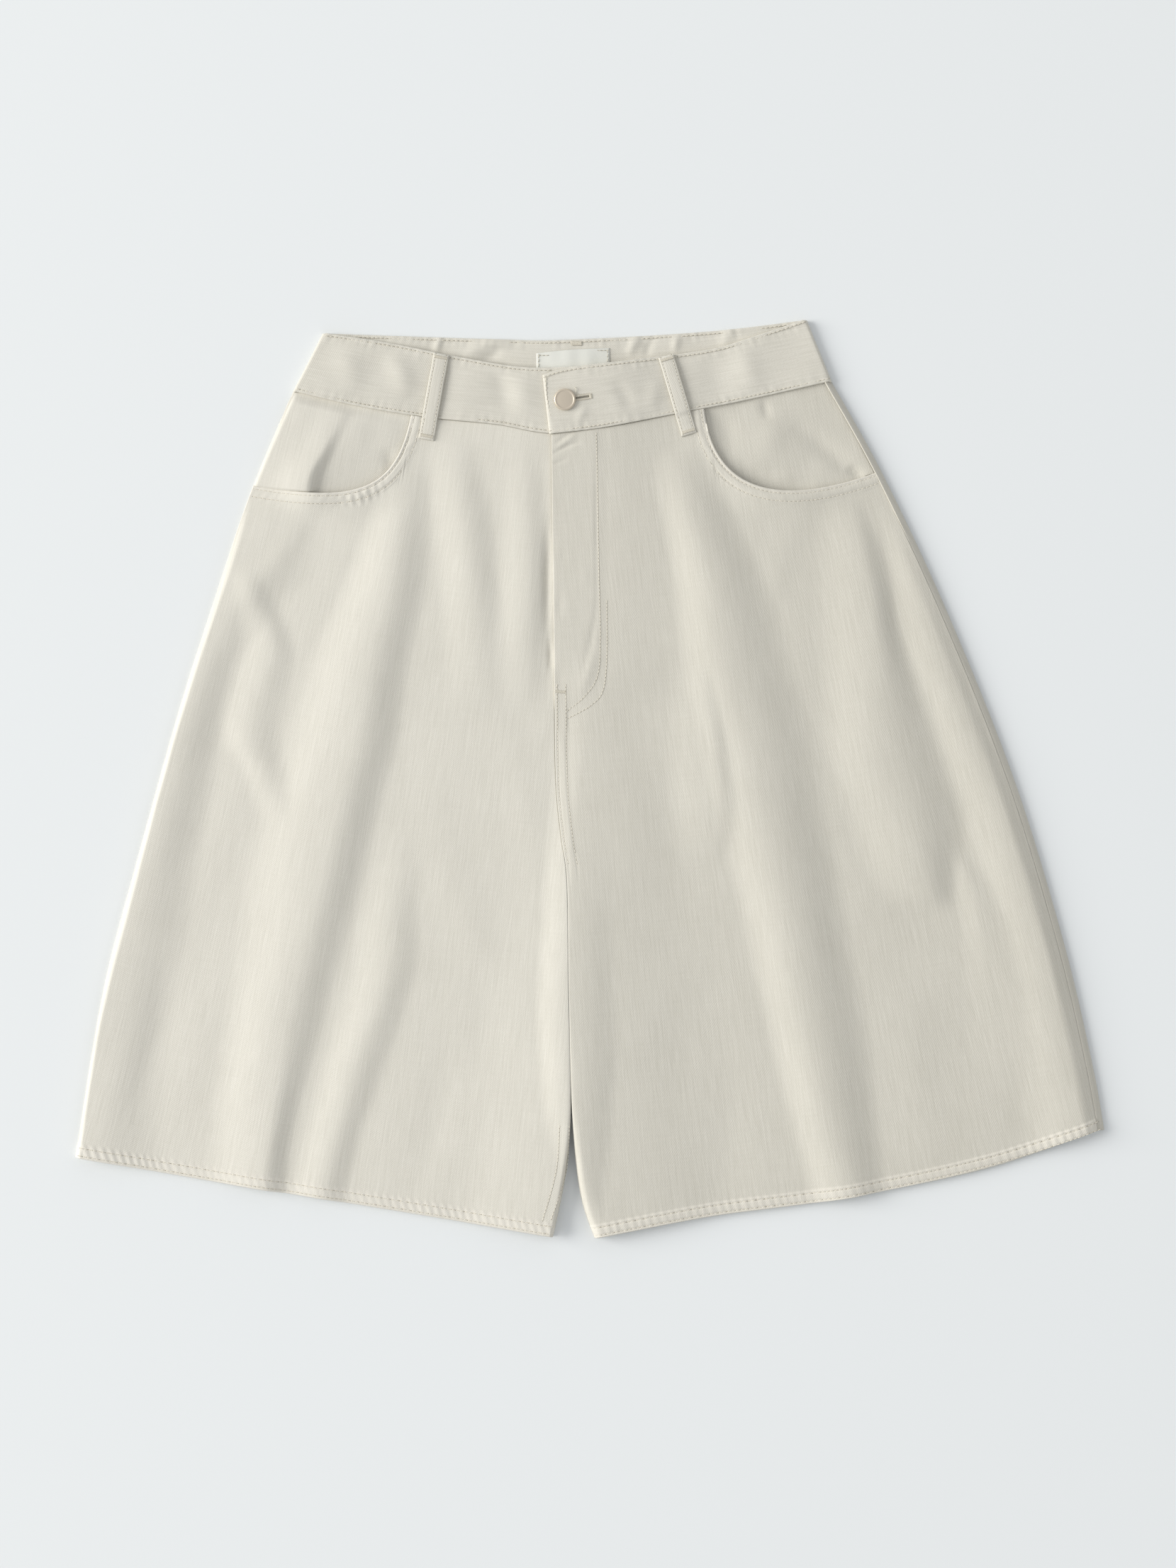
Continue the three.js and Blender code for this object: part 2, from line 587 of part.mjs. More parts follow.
// Height of the back waistband's outside over the table: it rises on to its belt loop.
function backBandLift(x) {
  const away = Math.abs(x - BACK_LOOP.x) - LOOP_WIDTH / 2;
  return (BACK_LOOP.cloth + SEAM_GAP) * (1 - smoothstep(away, 1, BACK_LOOP_EASE));
}

// The waistband runs once round the waist: from the underlap along the right front, round the right side,
// along the back, round the left side and along the left front to the lapped end.
function waistband() {
  const lapped = (x) => bandFront(x) + lapLift(x);
  const stretches = [
    { top: BAND_TOP_RIGHT, low: BAND_LOW_RIGHT, from: 1, to: 0, count: 17, height: bandFront },
    { top: BAND_TOP_BACK, low: BAND_LOW_BACK, from: 0, to: 1, count: 22, height: backBandLift },
    { top: BAND_TOP_LEFT, low: BAND_LOW_LEFT, from: 1, to: 0, count: 16, height: lapped },
  ];
  const rails = [];
  for (const { top, low, from, to, count, height } of stretches) {
    const [topEdge, lowEdge] = [curve(top), curve(low)];
    for (const t of steps(from, to, count)) {
      const [a, b] = [lowEdge(t), topEdge(t)];
      const z = height((a.x + b.x) / 2);
      rails.push([new THREE.Vector3(a.x, a.y, z), new THREE.Vector3(b.x, b.y, z)]);
    }
  }
  const turnAt = (after, sign) => {
    const [front, back] = [rails[after], rails[after + 1]];
    return [0.25, 0.5, 0.75].map((s) => [0, 1].map((k) => {
      const middle = (front[k].z + back[k].z) / 2;
      const reach = (front[k].z - back[k].z) / 2;
      const angle = Math.PI * s;
      const bulge = sign * BAND_TURN * Math.sin(angle);
      const p = front[k].clone().lerp(back[k], 0.5);
      return new THREE.Vector3(p.x + bulge, p.y, middle + reach * Math.cos(angle));
    }));
  };
  const firstTurn = stretches[0].count;
  const secondTurn = firstTurn + 1 + stretches[1].count;
  const path = [
    ...rails.slice(0, firstTurn + 1),
    ...turnAt(firstTurn, -1),
    ...rails.slice(firstTurn + 1, secondTurn + 1),
    ...turnAt(secondTurn, 1),
    ...rails.slice(secondTurn + 1),
  ];
  const outer = path.map(([a, b]) => spread(3).map((t) => a.clone().lerp(b, t)));
  return geometryOf(solidOf(wall(outer, BAND_CLOTH, 1)).subtract(buttonholeCutter()));
}

// The keyhole that the button's stem stands in: an eyelet and a slit, through the lapped end only.
function buttonholeCutter() {
  const { length, rise, width, eyelet } = BUTTONHOLE;
  const angle = Math.atan2(rise, length);
  const turn = Math.asin(width / 2 / eyelet);
  const outline = new THREE.Shape();
  outline.absarc(0, 0, eyelet, turn, 2 * Math.PI - turn, false);
  outline.lineTo(length - eyelet, -width / 2);
  outline.lineTo(length - eyelet, width / 2);
  const floor = bandFront(BUTTON.x) + SEAM_GAP / 2;
  const cutter = new THREE.ExtrudeGeometry(outline, { depth: 12, bevelEnabled: false, curveSegments: 10 });
  cutter.rotateZ(angle).translate(BUTTON.x, BUTTON.y, floor);
  return solidOf(cutter);
}

// A belt loop is a flat strip on the waistband's outside, standing off it between its two sewn ends.
function beltLoop({ top, low }) {
  const [a, b] = [new THREE.Vector2(...low), new THREE.Vector2(...top)];
  const along = b.clone().sub(a);
  const across = new THREE.Vector2(along.y, -along.x).normalize().multiplyScalar(LOOP_WIDTH / 2);
  const place = (u, v) => a.clone().lerp(b, v).addScaledVector(across, 2 * u - 1);
  const height = (x, y, u, v) => {
    const middle = a.clone().lerp(b, v);
    const lap = middle.x > CLOSURE_X ? lapLift(middle.x) : 0;
    const seat = Math.max(bandFront(middle.x) + lap, frontSurface(middle.x, middle.y) - LOOP_SINK);
    const standOff = LOOP_STAND_OFF * Math.sin(Math.PI * clamp((v - 0.12) / 0.8, 0, 1));
    return seat + SEAM_GAP + LOOP_CLOTH + standOff;
  };
  return wall(surface(place, spread(1), spread(10), height), LOOP_CLOTH, 1);
}

function backLoop() {
  const { x, top, low, cloth } = BACK_LOOP;
  const place = (u, v) => new THREE.Vector2(x + LOOP_WIDTH * (u - 0.5), lerp(low, top, v));
  return wall(surface(place, spread(1), spread(3), () => 0), cloth, -1);
}

function label() {
  const { x, top, width, height, cloth, tilt } = LABEL;
  const place = (u, v) => {
    const along = width * (u - 0.5);
    return new THREE.Vector2(x + along, lerp(top - height, top, v) + tilt * along);
  };
  const lie = (px) => backBandLift(px) + BAND_CLOTH + SEAM_GAP + cloth;
  return wall(surface(place, spread(12), spread(2), lie), cloth, 1);
}

// A shank button: a shallow dome with a rolled rim on a stem.
function button() {
  const { x, y, radius, cap, stem } = BUTTON;
  const seat = bandFront(x) + SEAM_GAP;
  const rim = bandFront(x) + lapLift(x) + SEAM_GAP;
  const profile = [
    [0, seat], [stem, seat], [stem, rim], [radius - 0.9, rim], [radius, rim + 0.6], [radius, rim + 1.3],
    [radius - 0.7, rim + cap - 0.4], [radius - 1.8, rim + cap - 0.1], [radius * 0.4, rim + cap + 0.1],
    [0, rim + cap + 0.15],
  ].map(([r, z]) => new THREE.Vector2(r, z));
  const turned = new THREE.LatheGeometry(profile, 28);
  return turned.rotateX(Math.PI / 2).translate(x, y, 0);
}

function piece(name, geometry, finish) {
  const mesh = new THREE.Mesh(geometry, new THREE.MeshStandardMaterial(finish));
  mesh.name = name;
  return mesh;
}

const shorts = new THREE.Group();
for (const side of ["right", "left"]) {
  const leg = LEGS[side];
  shorts.add(
    piece(`front_${side}`, frontPanel(leg), ECRU),
    piece(`back_${side}`, backPanel(leg), ECRU),
    piece(`pocket_bearer_${side}`, pocketBearer(leg), ECRU),
    piece(`pocket_bag_${side}`, pocketBag(leg), BAG),
  );
}
shorts.add(
  piece("waistband", waistband(), ECRU),
  piece("fly_shield", flyShield(), ECRU),
  piece("belt_loop_back", backLoop(), ECRU),
  piece("label", label(), SATIN),
  piece("button", button(), NICKEL),
  ...LOOPS.map((loop) => piece(loop.name, beltLoop(loop), ECRU)),
);

// The origin is the middle of the underside.
const box = new THREE.Box3().setFromObject(shorts);
shorts.position.set(-(box.min.x + box.max.x) / 2, -(box.min.y + box.max.y) / 2, -box.min.z);

export default shorts;
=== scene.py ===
"""Wide-leg ecru denim shorts, laid flat on a pale studio floor with the front up and the waist towards +Y.

Tables and dataclass fields are in millimetres on the garment's own drawing, whose middle lies SHIFT away from
the frame's origin. -X is the wearer's right. Meshes are made in metres.
"""
import logging
import math
from dataclasses import dataclass, field, replace
from enum import Enum
from typing import Callable, Sequence

import bmesh
import bpy
import numpy as np
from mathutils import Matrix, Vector


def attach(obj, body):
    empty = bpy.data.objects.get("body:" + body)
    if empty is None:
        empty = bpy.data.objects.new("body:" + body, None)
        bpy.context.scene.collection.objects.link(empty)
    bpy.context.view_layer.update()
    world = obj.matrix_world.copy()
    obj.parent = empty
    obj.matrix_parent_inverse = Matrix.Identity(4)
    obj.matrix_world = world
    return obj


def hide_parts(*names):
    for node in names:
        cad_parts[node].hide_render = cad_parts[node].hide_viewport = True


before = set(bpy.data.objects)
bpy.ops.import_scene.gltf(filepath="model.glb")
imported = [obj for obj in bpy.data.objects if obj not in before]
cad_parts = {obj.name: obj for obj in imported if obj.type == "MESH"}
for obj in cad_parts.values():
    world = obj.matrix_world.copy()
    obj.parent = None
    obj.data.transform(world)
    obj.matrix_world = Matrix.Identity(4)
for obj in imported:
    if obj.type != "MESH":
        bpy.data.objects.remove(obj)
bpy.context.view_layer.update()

log = logging.getLogger("shorts")
MM = 0.001
SHIFT = (0.9, -0.3)
BODY = "root"
Array = np.ndarray
Object = bpy.types.Object
Material = bpy.types.Material
NodeSocket = bpy.types.NodeSocket
Points = Sequence[Sequence[float]]
Path = Callable[[Array], Array]


class Slot(Enum):
    """The record's material slots, passed along with the dressed pieces."""

    DENIM = "ecru_denim"
    SATIN = "label_satin"
    METAL = "pale_metal"


class Side(Enum):
    """The wearer's sides, with the way from the centre to the side."""

    RIGHT = -1
    LEFT = 1

    @property
    def word(self) -> str:
        """The side's name in node names."""
        return self.name.lower()


# Small mathematics on arrays.
def ease(t: Array) -> Array:
    """Smooth step of a share from 0 to 1."""
    return t * t * (3 - 2 * t)


def ramp(value: Array, low: float, high: float) -> Array:
    """Eased share of the way that a value is from low to high."""
    return ease(np.clip((value - low) / (high - low), 0, 1))


def bell(q: Array) -> Array:
    """A round hump of height 1 between -1 and 1."""
    return np.where(np.abs(q) < 1, 0.5 + 0.5 * np.cos(np.pi * np.clip(q, -1, 1)), 0.0)


def ridge(distance: Array, width: float) -> Array:
    """A narrow hump of height 1 on a line, about `width` to each side."""
    return np.exp(-((distance / width) ** 2))


def through(stations: Sequence[float], values: Sequence[float], y: Array) -> Array:
    """A smooth run of values through stations.

    Args:
        stations: heights that go down in y.
        values: one value at each.
        y: where the values are wanted.

    Returns:
        The value at each y, held past both ends.
    """
    at, value = np.asarray(stations, float), np.asarray(values, float)
    last = len(at) - 1
    before, after = np.maximum(np.arange(last + 1) - 1, 0), np.minimum(np.arange(last + 1) + 1, last)
    slope = (value[after] - value[before]) / (at[after] - at[before])
    inside = np.clip(y, at[-1], at[0])
    i = np.clip(np.searchsorted(-at, -inside, side="right") - 1, 0, last - 1)
    span = at[i + 1] - at[i]
    t = (inside - at[i]) / span
    start = value[i] + slope[i] * span * t
    end = value[i + 1] - slope[i + 1] * span * (1 - t)
    return start + (end - start) * ease(t)


def edge_round(away: Array, drop: float, reach: float = 1.0) -> Array:
    """How far a rounded edge has come down at a distance from its end."""
    return drop * (1 - np.sqrt(np.clip(1 - (1 - np.clip(away / reach, 0, 1)) ** 2, 0, 1)))


def ripple(x: Array, y: Array, seed: int, across: float, along: float, waves: int = 5) -> Array:
    """Soft uneven waves with about unit height.

    Args:
        x, y: places.
        seed: picks the waves.
        across, along: usual wavelengths in x and y.
        waves: how many are added.

    Returns:
        The waves' height at each place.
    """
    rng = np.random.default_rng(seed)
    total = np.zeros(np.broadcast(x, y).shape)
    for _ in range(waves):
        kx = rng.uniform(0.5, 1.5) * 2 * np.pi / across * rng.choice([-1, 1])
        ky = rng.uniform(0.4, 1.6) * 2 * np.pi / along
        total = total + np.sin(kx * x + ky * y + rng.uniform(0, 2 * np.pi))
    return total / math.sqrt(waves)


class Line:
    """A smooth line on the drawing, run through evenly by its length."""

    def __init__(self, points: Points, smooth: bool = True, samples: int = 500) -> None:
        """Builds the line through points, or along them when they are already close together.

        Args:
            points: its points in order.
            smooth: whether a curve is run through them.
            samples: how many points the curve has.
        """
        p = np.asarray(points, float)
        if smooth:  # Cubic pieces, whose slope at each point comes from the points on both sides of it.
            last = len(p) - 1
            t = np.linspace(0, last, samples)
            i = np.minimum(t.astype(int), last - 1)
            w = (t - i)[:, None]
            a, b, c, d = p[np.maximum(i - 1, 0)], p[i], p[i + 1], p[np.minimum(i + 2, last)]
            v0, v1 = (c - a) / 2, (d - b) / 2
            p = (2 * b - 2 * c + v0 + v1) * w**3 + (-3 * b + 3 * c - 2 * v0 - v1) * w**2 + v0 * w + b
        self.points = p
        steps = np.linalg.norm(np.diff(p, axis=0), axis=1)
        self.run = np.concatenate([[0], np.cumsum(steps)])
        self.length = float(self.run[-1])

    def __call__(self, share: Array) -> Array:
        """Points at shares of the length."""
        s = np.clip(share, 0, 1) * self.length
        return np.stack([np.interp(s, self.run, self.points[:, k]) for k in range(self.points.shape[1])], axis=-1)

    def share_at(self, value: float, axis: int) -> float:
        """The share of the length where x (axis 0) or y (axis 1) has a value, on a line that goes one way.

        Args:
            value: the wanted x or y.
            axis: 0 for x, and 1 for y.

        Returns:
            The share there.
        """
        along = self.points[:, axis]
        order = 1 if along[-1] > along[0] else -1
        return float(np.interp(value * order, along * order, self.run)) / self.length

    def x_at(self, y: Array) -> Array:
        """x where the line is at y, on a line that goes down."""
        return np.interp(-np.asarray(y), -self.points[:, 1], self.points[:, 0])

    def y_at(self, x: Array) -> Array:
        """y where the line is at x, on a line that goes one way across."""
        order = np.argsort(self.points[:, 0])
        return np.interp(x, self.points[order, 0], self.points[order, 1])

    def part(self, start: float, end: float) -> "Line":
        """The stretch between two shares, in that direction."""
        return Line(self(np.linspace(start, end, len(self.points))), smooth=False)

    def shifted(self, dx: float, dy: float) -> "Line":
        """The same line moved."""
        return Line(self.points + np.array([dx, dy]), smooth=False)

    def between(self, start: Array, end: Array) -> "Line":
        """The same line, eased over its length so that it starts and ends at two given points."""
        t = (self.run / self.length)[:, None]
        return Line(self.points + (start - self.points[0]) * (1 - t) + (end - self.points[-1]) * t, smooth=False)

    def offset(self, distance: float) -> "Line":
        """The same line, moved to its left as it runs by a distance.

        Args:
            distance: how far, or to the right where it is negative.

        Returns:
            The moved line.
        """
        tangent = np.gradient(self.points, axis=0)
        tangent /= np.linalg.norm(tangent, axis=1)[:, None]
        normal = np.stack([-tangent[:, 1], tangent[:, 0]], axis=1)
        return Line(self.points + normal * distance, smooth=False)

    def distance(self, x: Array, y: Array, near: float = 30.0) -> Array:
        """Distance of each place from the line, or `near` where it is farther than that.

        Args:
            x, y: the places.
            near: the most that is told apart.

        Returns:
            The distance at each place.
        """
        x, y = np.broadcast_arrays(np.asarray(x, float), np.asarray(y, float))
        low, high = self.points.min(0) - near, self.points.max(0) + near
        close = (x > low[0]) & (x < high[0]) & (y > low[1]) & (y < high[1])
        away = np.full(x.shape, near)
        if close.any():
            spots = np.stack([x[close], y[close]], axis=1)
            step = max(1, len(self.points) // 260)
            line = self.points[::step]
            a, b = line[:-1], line[1:]
            best = np.full(len(spots), np.inf)
            for start, end in zip(a, b):
                way = end - start
                t = np.clip(((spots - start) @ way) / max(way @ way, 1e-9), 0, 1)
                best = np.minimum(best, np.linalg.norm(spots - start - t[:, None] * way, axis=1))
            away[close] = np.minimum(best, near)
        return away


def cubic(points: Points, samples: int = 300) -> Line:
    """A cubic curve with two ends and two points that bend it.

    Args:
        points: start, two bending points and end.
        samples: how many points it has.

    Returns:
        The curve.
    """
    p = np.asarray(points, float)
    t = np.linspace(0, 1, samples)[:, None]
    return Line(
        (1 - t) ** 3 * p[0] + 3 * (1 - t) ** 2 * t * p[1] + 3 * (1 - t) * t**2 * p[2] + t**3 * p[3], smooth=False
    )


def patch(top: Path, low: Path, inner: Line, outer: Line, u: Array, v: Array) -> Array:
    """A grid of places between four lines.

    Args:
        top, low: across the top and the bottom.
        inner, outer: down the two sides.
        u, v: shares across and down.

    Returns:
        The places, one row for each v.
    """
    zero, one = np.array(0.0), np.array(1.0)
    inner = inner.between(top(zero), low(zero))
    outer = outer.between(top(one), low(one))
    across = top(u)[None] * (1 - v)[:, None, None] + low(u)[None] * v[:, None, None]
    down = inner(v)[:, None] * (1 - u)[None, :, None] + outer(v)[:, None] * u[None, :, None]
    flat_top = top(zero) * (1 - u)[:, None] + top(one) * u[:, None]
    flat_low = low(zero) * (1 - u)[:, None] + low(one) * u[:, None]
    flat = flat_top[None] * (1 - v)[:, None, None] + flat_low[None] * v[:, None, None]
    return across + down - flat


# The cloth, its layers and its edges.
@dataclass(frozen=True)
class Layers:
    """Thicknesses, and the heights at which the layers lie."""

    cloth: float = 1.2
    band: float = 2.2
    hem: float = 1.9
    gap: float = 0.1
    front_lift: float = 3.1
    waist_lift: float = 1.9
    closure_x: float = -12.0
    closure_reach: float = 120.0
    underlap_x: float = 14.0
    lap_fade: float = 42.0
    seam_inset: float = 5.0
    edge_gap: float = 0.08


LAYERS = Layers()
WAIST_SHARE = 0.43

SIDE_RIGHT = [[-209.5, 273], [-240, 202], [-266, 125], [-290, 50], [-318, -50], [-344, -150], [-363.3, -266]]
SIDE_LEFT = [[169.5, 280], [205, 216], [250, 120], [298, 0], [333, -115], [353, -200], [361.5, -247]]
CENTRE_FRONT = [[-28.2, 243], [-27.3, 150], [-26.3, 72], [-25.2, 0], [-21.5, -40]]
CENTRE_BACK = [[-10.8, 268], [-12.5, 150], [-14.5, 40], [-16.5, -30]]
INNER_RIGHT = [[-17.3, -72], [-16, -150], [-14.5, -232], [-18.5, -280], [-27, -322]]
INNER_LEFT = [[-17.3, -72], [-16, -150], [-13.5, -238], [-8, -292], [2, -323]]
HEM_RIGHT = [[-27, -322], [-67, -315.5], [-167, -299], [-267, -283], [-363.3, -266]]
HEM_LEFT = [[2, -323], [83, -308], [183, -294.5], [283, -273], [361.5, -247]]
BAND_TOP_RIGHT = [[-187, 314.3], [-142, 307.3], [-92, 297.3], [-42, 289.8], [14, 292.5]]
BAND_LOW_RIGHT = [[-208, 273], [-167, 263.3], [-117, 255], [-67, 249.8], [-28, 243.5], [14, 249]]
BAND_TOP_LEFT = [[-34.5, 284.3], [-17, 289.3], [33, 295.8], [83, 302.8], [108, 309.8], [149, 323.6]]
BAND_LOW_LEFT = [[-29.8, 242.8], [8, 247.3], [58, 257], [108, 266.8], [167, 280]]
BAND_TOP_BACK = [[-187, 314.3], [-67, 310.3], [-17, 309.8], [83, 315.8], [149, 323.6]]
BAND_LOW_BACK = [[-208, 273], [-110, 269.5], [-10, 268], [90, 272], [167, 280]]


@dataclass(frozen=True)
class Turn:
    """How a panel's outside comes down at an edge: over `reach` to `height`, and `hem` more layers at the hem."""

    reach: float
    height: float
    hem: int
    round: bool

    def applied(self, height: Array, distance: Array, at_hem: Array, raised: Array | float = 0.0) -> Array:
        """A height brought down near an edge that is `distance` away, and that stands `raised` above its usual one.

        Args:
            height: the surface's own.
            distance: of each place from the edge.
            at_hem: 1 in the hem and 0 above it.
            raised: how far the edge is lifted.

        Returns:
            The height at each place.
        """
        s = np.clip(distance / self.reach, 0, 1)
        share = np.sqrt(1 - (1 - s) ** 2) if self.round else np.sin(np.pi / 2 * s)
        edge = self.height + raised + at_hem * self.hem * (LAYERS.hem - LAYERS.cloth)
        edge = np.minimum(edge, height)
        return edge + (height - edge) * share


@dataclass(frozen=True)
class Leg:
    """One leg's lines: its side, seam, hem, inner edge, waist seam and pocket opening."""

    side: Side
    edge: Line
    seam: Line
    hem: Line
    inner: Line
    back_inner: Line
    band_low: Line
    pocket: Line
    turn_side: Turn
    turn_inner: Turn

    @property
    def out(self) -> int:
        """The way from the centre to the side, -1 or 1."""
        return self.side.value

    @property
    def facing(self) -> int:
        """1 where a grid that runs out and down has its normals up."""
        return -self.side.value


def make_leg(side: Side) -> Leg:
    """Draws one leg's lines.

    Args:
        side: the wearer's side.

    Returns:
        The lines, with the turns at the panels' edges.
    """
    right = side is Side.RIGHT
    edge = Line(SIDE_RIGHT if right else SIDE_LEFT)
    seam = edge if right else edge.shifted(-LAYERS.seam_inset - 3 * LAYERS.gap, 0)
    band_low = Line(BAND_LOW_RIGHT if right else BAND_LOW_LEFT)
    inside = INNER_RIGHT if right else INNER_LEFT
    start_x, end_y = (-127, 207) if right else (79.3, 216)
    bend = [[-137, 208], [-158, 192]] if right else [[84, 218], [112, 184]]
    start = band_low(band_low.share_at(start_x, 0))
    end = seam(seam.share_at(end_y, 1))
    edge_height = 2 * LAYERS.cloth + LAYERS.gap
    return Leg(
        side=side,
        edge=edge,
        seam=seam,
        hem=Line(HEM_RIGHT if right else HEM_LEFT),
        inner=Line(CENTRE_FRONT + inside),
        back_inner=Line(CENTRE_BACK + inside),
        band_low=band_low,
        pocket=cubic([start, *bend, end]),
        turn_side=Turn(3.2, edge_height, 2, True) if right else Turn(11, 5.6, 1, False),
        turn_inner=Turn(3 if right else 5, edge_height, 2, True),
    )


# Folds and creases.
@dataclass(frozen=True)
class Fold:
    """A soft fold that runs down a panel through stations at (x, y), with its reach to each side and its rise."""

    y: Sequence[float]
    x: Sequence[float]
    left: Sequence[float]
    right: Sequence[float]
    rise: Sequence[float]

    def height(self, x: Array, y: Array) -> Array:
        """The fold's own height.

        Args:
            x, y: the places.

        Returns:
            The height at each place.
        """
        away = x - through(self.y, self.x, y)
        reach = np.where(away < 0, through(self.y, self.left, y), through(self.y, self.right, y))
        return through(self.y, self.rise, y) * bell(away / reach)


@dataclass(frozen=True)
class Crease:
    """A short ridge, or a trough where `rise` is negative, between two points, bowed sideways by `bow`."""

    start: tuple[float, float]
    end: tuple[float, float]
    width: float
    rise: float
    bow: float = 0.0

    def height(self, x: Array, y: Array) -> Array:
        """The crease's own height.

        Args:
            x, y: the places.

        Returns:
            The height at each place.
        """
        (ax, ay), (bx, by) = self.start, self.end
        length = math.hypot(bx - ax, by - ay)
        tx, ty = (bx - ax) / length, (by - ay) / length
        along = ((x - ax) * tx + (y - ay) * ty) / length
        across = -(x - ax) * ty + (y - ay) * tx - self.bow * 4 * along * (1 - along)
        ends = np.sqrt(bell((along - 0.5) / 0.62))
        return self.rise * ridge(across, self.width) * ends


FOLDS = [
    # Right edge.
    Fold(
        y=[200, 150, 120, 50, 0, -50, -100, -150, -200, -266],
        x=[-237, -252, -262.5, -285.5, -300, -313.5, -326.5, -339.5, -349.5, -359],
        left=[8, 8, 7, 6, 6, 6, 6, 6, 6, 6],
        right=[60, 66, 44, 32, 38, 41, 47, 51, 55, 58],
        rise=[0, 3.4, 3.7, 5.2, 5.6, 6.0, 6.2, 6.0, 5.8, 5.6],
    ),
    # Right thigh.
    Fold(
        y=[150, 132, 100, 75, 30, 10, -8, -30],
        x=[-243, -240, -226, -230, -241, -232, -227, -222],
        left=[12, 14, 24, 28, 22, 18, 16, 14],
        right=[12, 14, 16, 22, 24, 20, 16, 14],
        rise=[0, 1.3, 2.4, 2.2, 2.2, 2.0, 1.5, 0],
    ),
    # Right long.
    Fold(
        y=[222, 190, 150, 125, 75, 25, 0, -50, -100, -150, -200, -250, -292],
        x=[-126, -134, -141, -146, -159, -168, -175, -186, -198, -210, -220, -227, -232],
        left=[20, 24, 32, 38, 46, 52, 54, 56, 54, 50, 46, 44, 42],
        right=[14, 22, 28, 30, 32, 34, 34, 32, 32, 30, 26, 18, 18],
        rise=[0, 2.4, 4.8, 5.6, 6.4, 6.8, 7.0, 7.0, 7.0, 6.6, 6.2, 5.6, 5.2],
    ),
    # Right lower.
    Fold(
        y=[-35, -75, -100, -125, -150, -175, -200, -225, -250, -292],
        x=[-134, -138, -141, -143, -149, -157, -166, -173, -180, -190],
        left=[16, 22, 26, 28, 28, 28, 26, 26, 26, 26],
        right=[16, 20, 22, 24, 24, 24, 24, 22, 20, 20],
        rise=[0, 1.2, 2.4, 3.0, 3.4, 3.6, 3.6, 3.4, 3.2, 3.0],
    ),
    # Right front.
    Fold(
        y=[245, 200, 150, 100, 40],
        x=[-100, -92, -86, -82, -84],
        left=[22, 24, 26, 26, 26],
        right=[20, 22, 22, 24, 26],
        rise=[0, 2.2, 2.4, 1.8, 0],
    ),
    # Right fly.
    Fold(
        y=[235, 190, 140, 80, 50],
        x=[-47, -46, -45, -46, -46],
        left=[16, 20, 24, 24, 20],
        right=[12, 16, 17, 17, 14],
        rise=[0, 1.4, 2.0, 1.4, 0],
    ),
    # Right inseam.
    Fold(
        y=[-20, -110, -180, -220, -322],
        x=[-14, -12, -10, -11, -22],
        left=[50, 66, 74, 80, 84],
        right=[30, 30, 30, 30, 30],
        rise=[0, 2.6, 4.6, 5.6, 6.4],
    ),
    # Left inseam.
    Fold(
        y=[90, 0, -110, -210, -260, -324],
        x=[4, -6, -14, -14, -6, 12],
        left=[24, 24, 24, 24, 22, 18],
        right=[60, 84, 104, 116, 112, 98],
        rise=[0, 2.6, 4.8, 6.0, 6.0, 5.8],
    ),
    # Left long.
    Fold(
        y=[235, 210, 175, 125, 75, 25, -25, -75, -125, -175, -225, -302],
        x=[62, 66, 75, 88, 98, 113, 123, 135, 145, 155, 165, 184],
        left=[20, 24, 26, 32, 36, 40, 40, 38, 36, 34, 32, 30],
        right=[20, 28, 34, 44, 48, 50, 46, 44, 42, 42, 38, 26],
        rise=[0, 2.4, 4.6, 6.0, 6.6, 7.0, 7.2, 7.2, 7.0, 6.8, 6.4, 5.4],
    ),
    # Left lobe.
    Fold(
        y=[80, 50, 10, -30, -60],
        x=[72, 80, 86, 88, 84],
        left=[18, 28, 36, 36, 24],
        right=[10, 12, 14, 16, 14],
        rise=[0, 2.0, 3.0, 2.2, 0],
    ),
    # Left thigh.
    Fold(
        y=[200, 150, 100, 50, 0, -25, -75, -92],
        x=[180, 192, 199, 203, 212, 222, 236, 242],
        left=[20, 36, 42, 44, 44, 46, 40, 26],
        right=[12, 18, 22, 40, 46, 42, 22, 14],
        rise=[0, 3.2, 5.2, 6.2, 6.4, 6.0, 3.6, 0],
    ),
    # Left lower.
    Fold(
        y=[-50, -75, -115, -160, -225],
        x=[258, 268, 280, 290, 298],
        left=[10, 14, 22, 30, 34],
        right=[12, 16, 20, 20, 20],
        rise=[0, 1.3, 1.8, 1.4, 0],
    ),
    # Left edge.
    Fold(
        y=[195, 150, 125, 100, 50, 0, -50, -100, -150, -200, -250],
        x=[208, 226, 235, 242, 259, 280, 297, 313, 326, 338, 349],
        left=[10, 18, 24, 28, 30, 32, 34, 38, 42, 44, 46],
        right=[30, 30, 30, 30, 30, 30, 30, 30, 30, 30, 30],
        rise=[0, 2.2, 3.0, 3.6, 4.2, 4.8, 5.2, 5.4, 5.4, 5.2, 5.0],
    ),
]
FOLD_TOP = 9.0

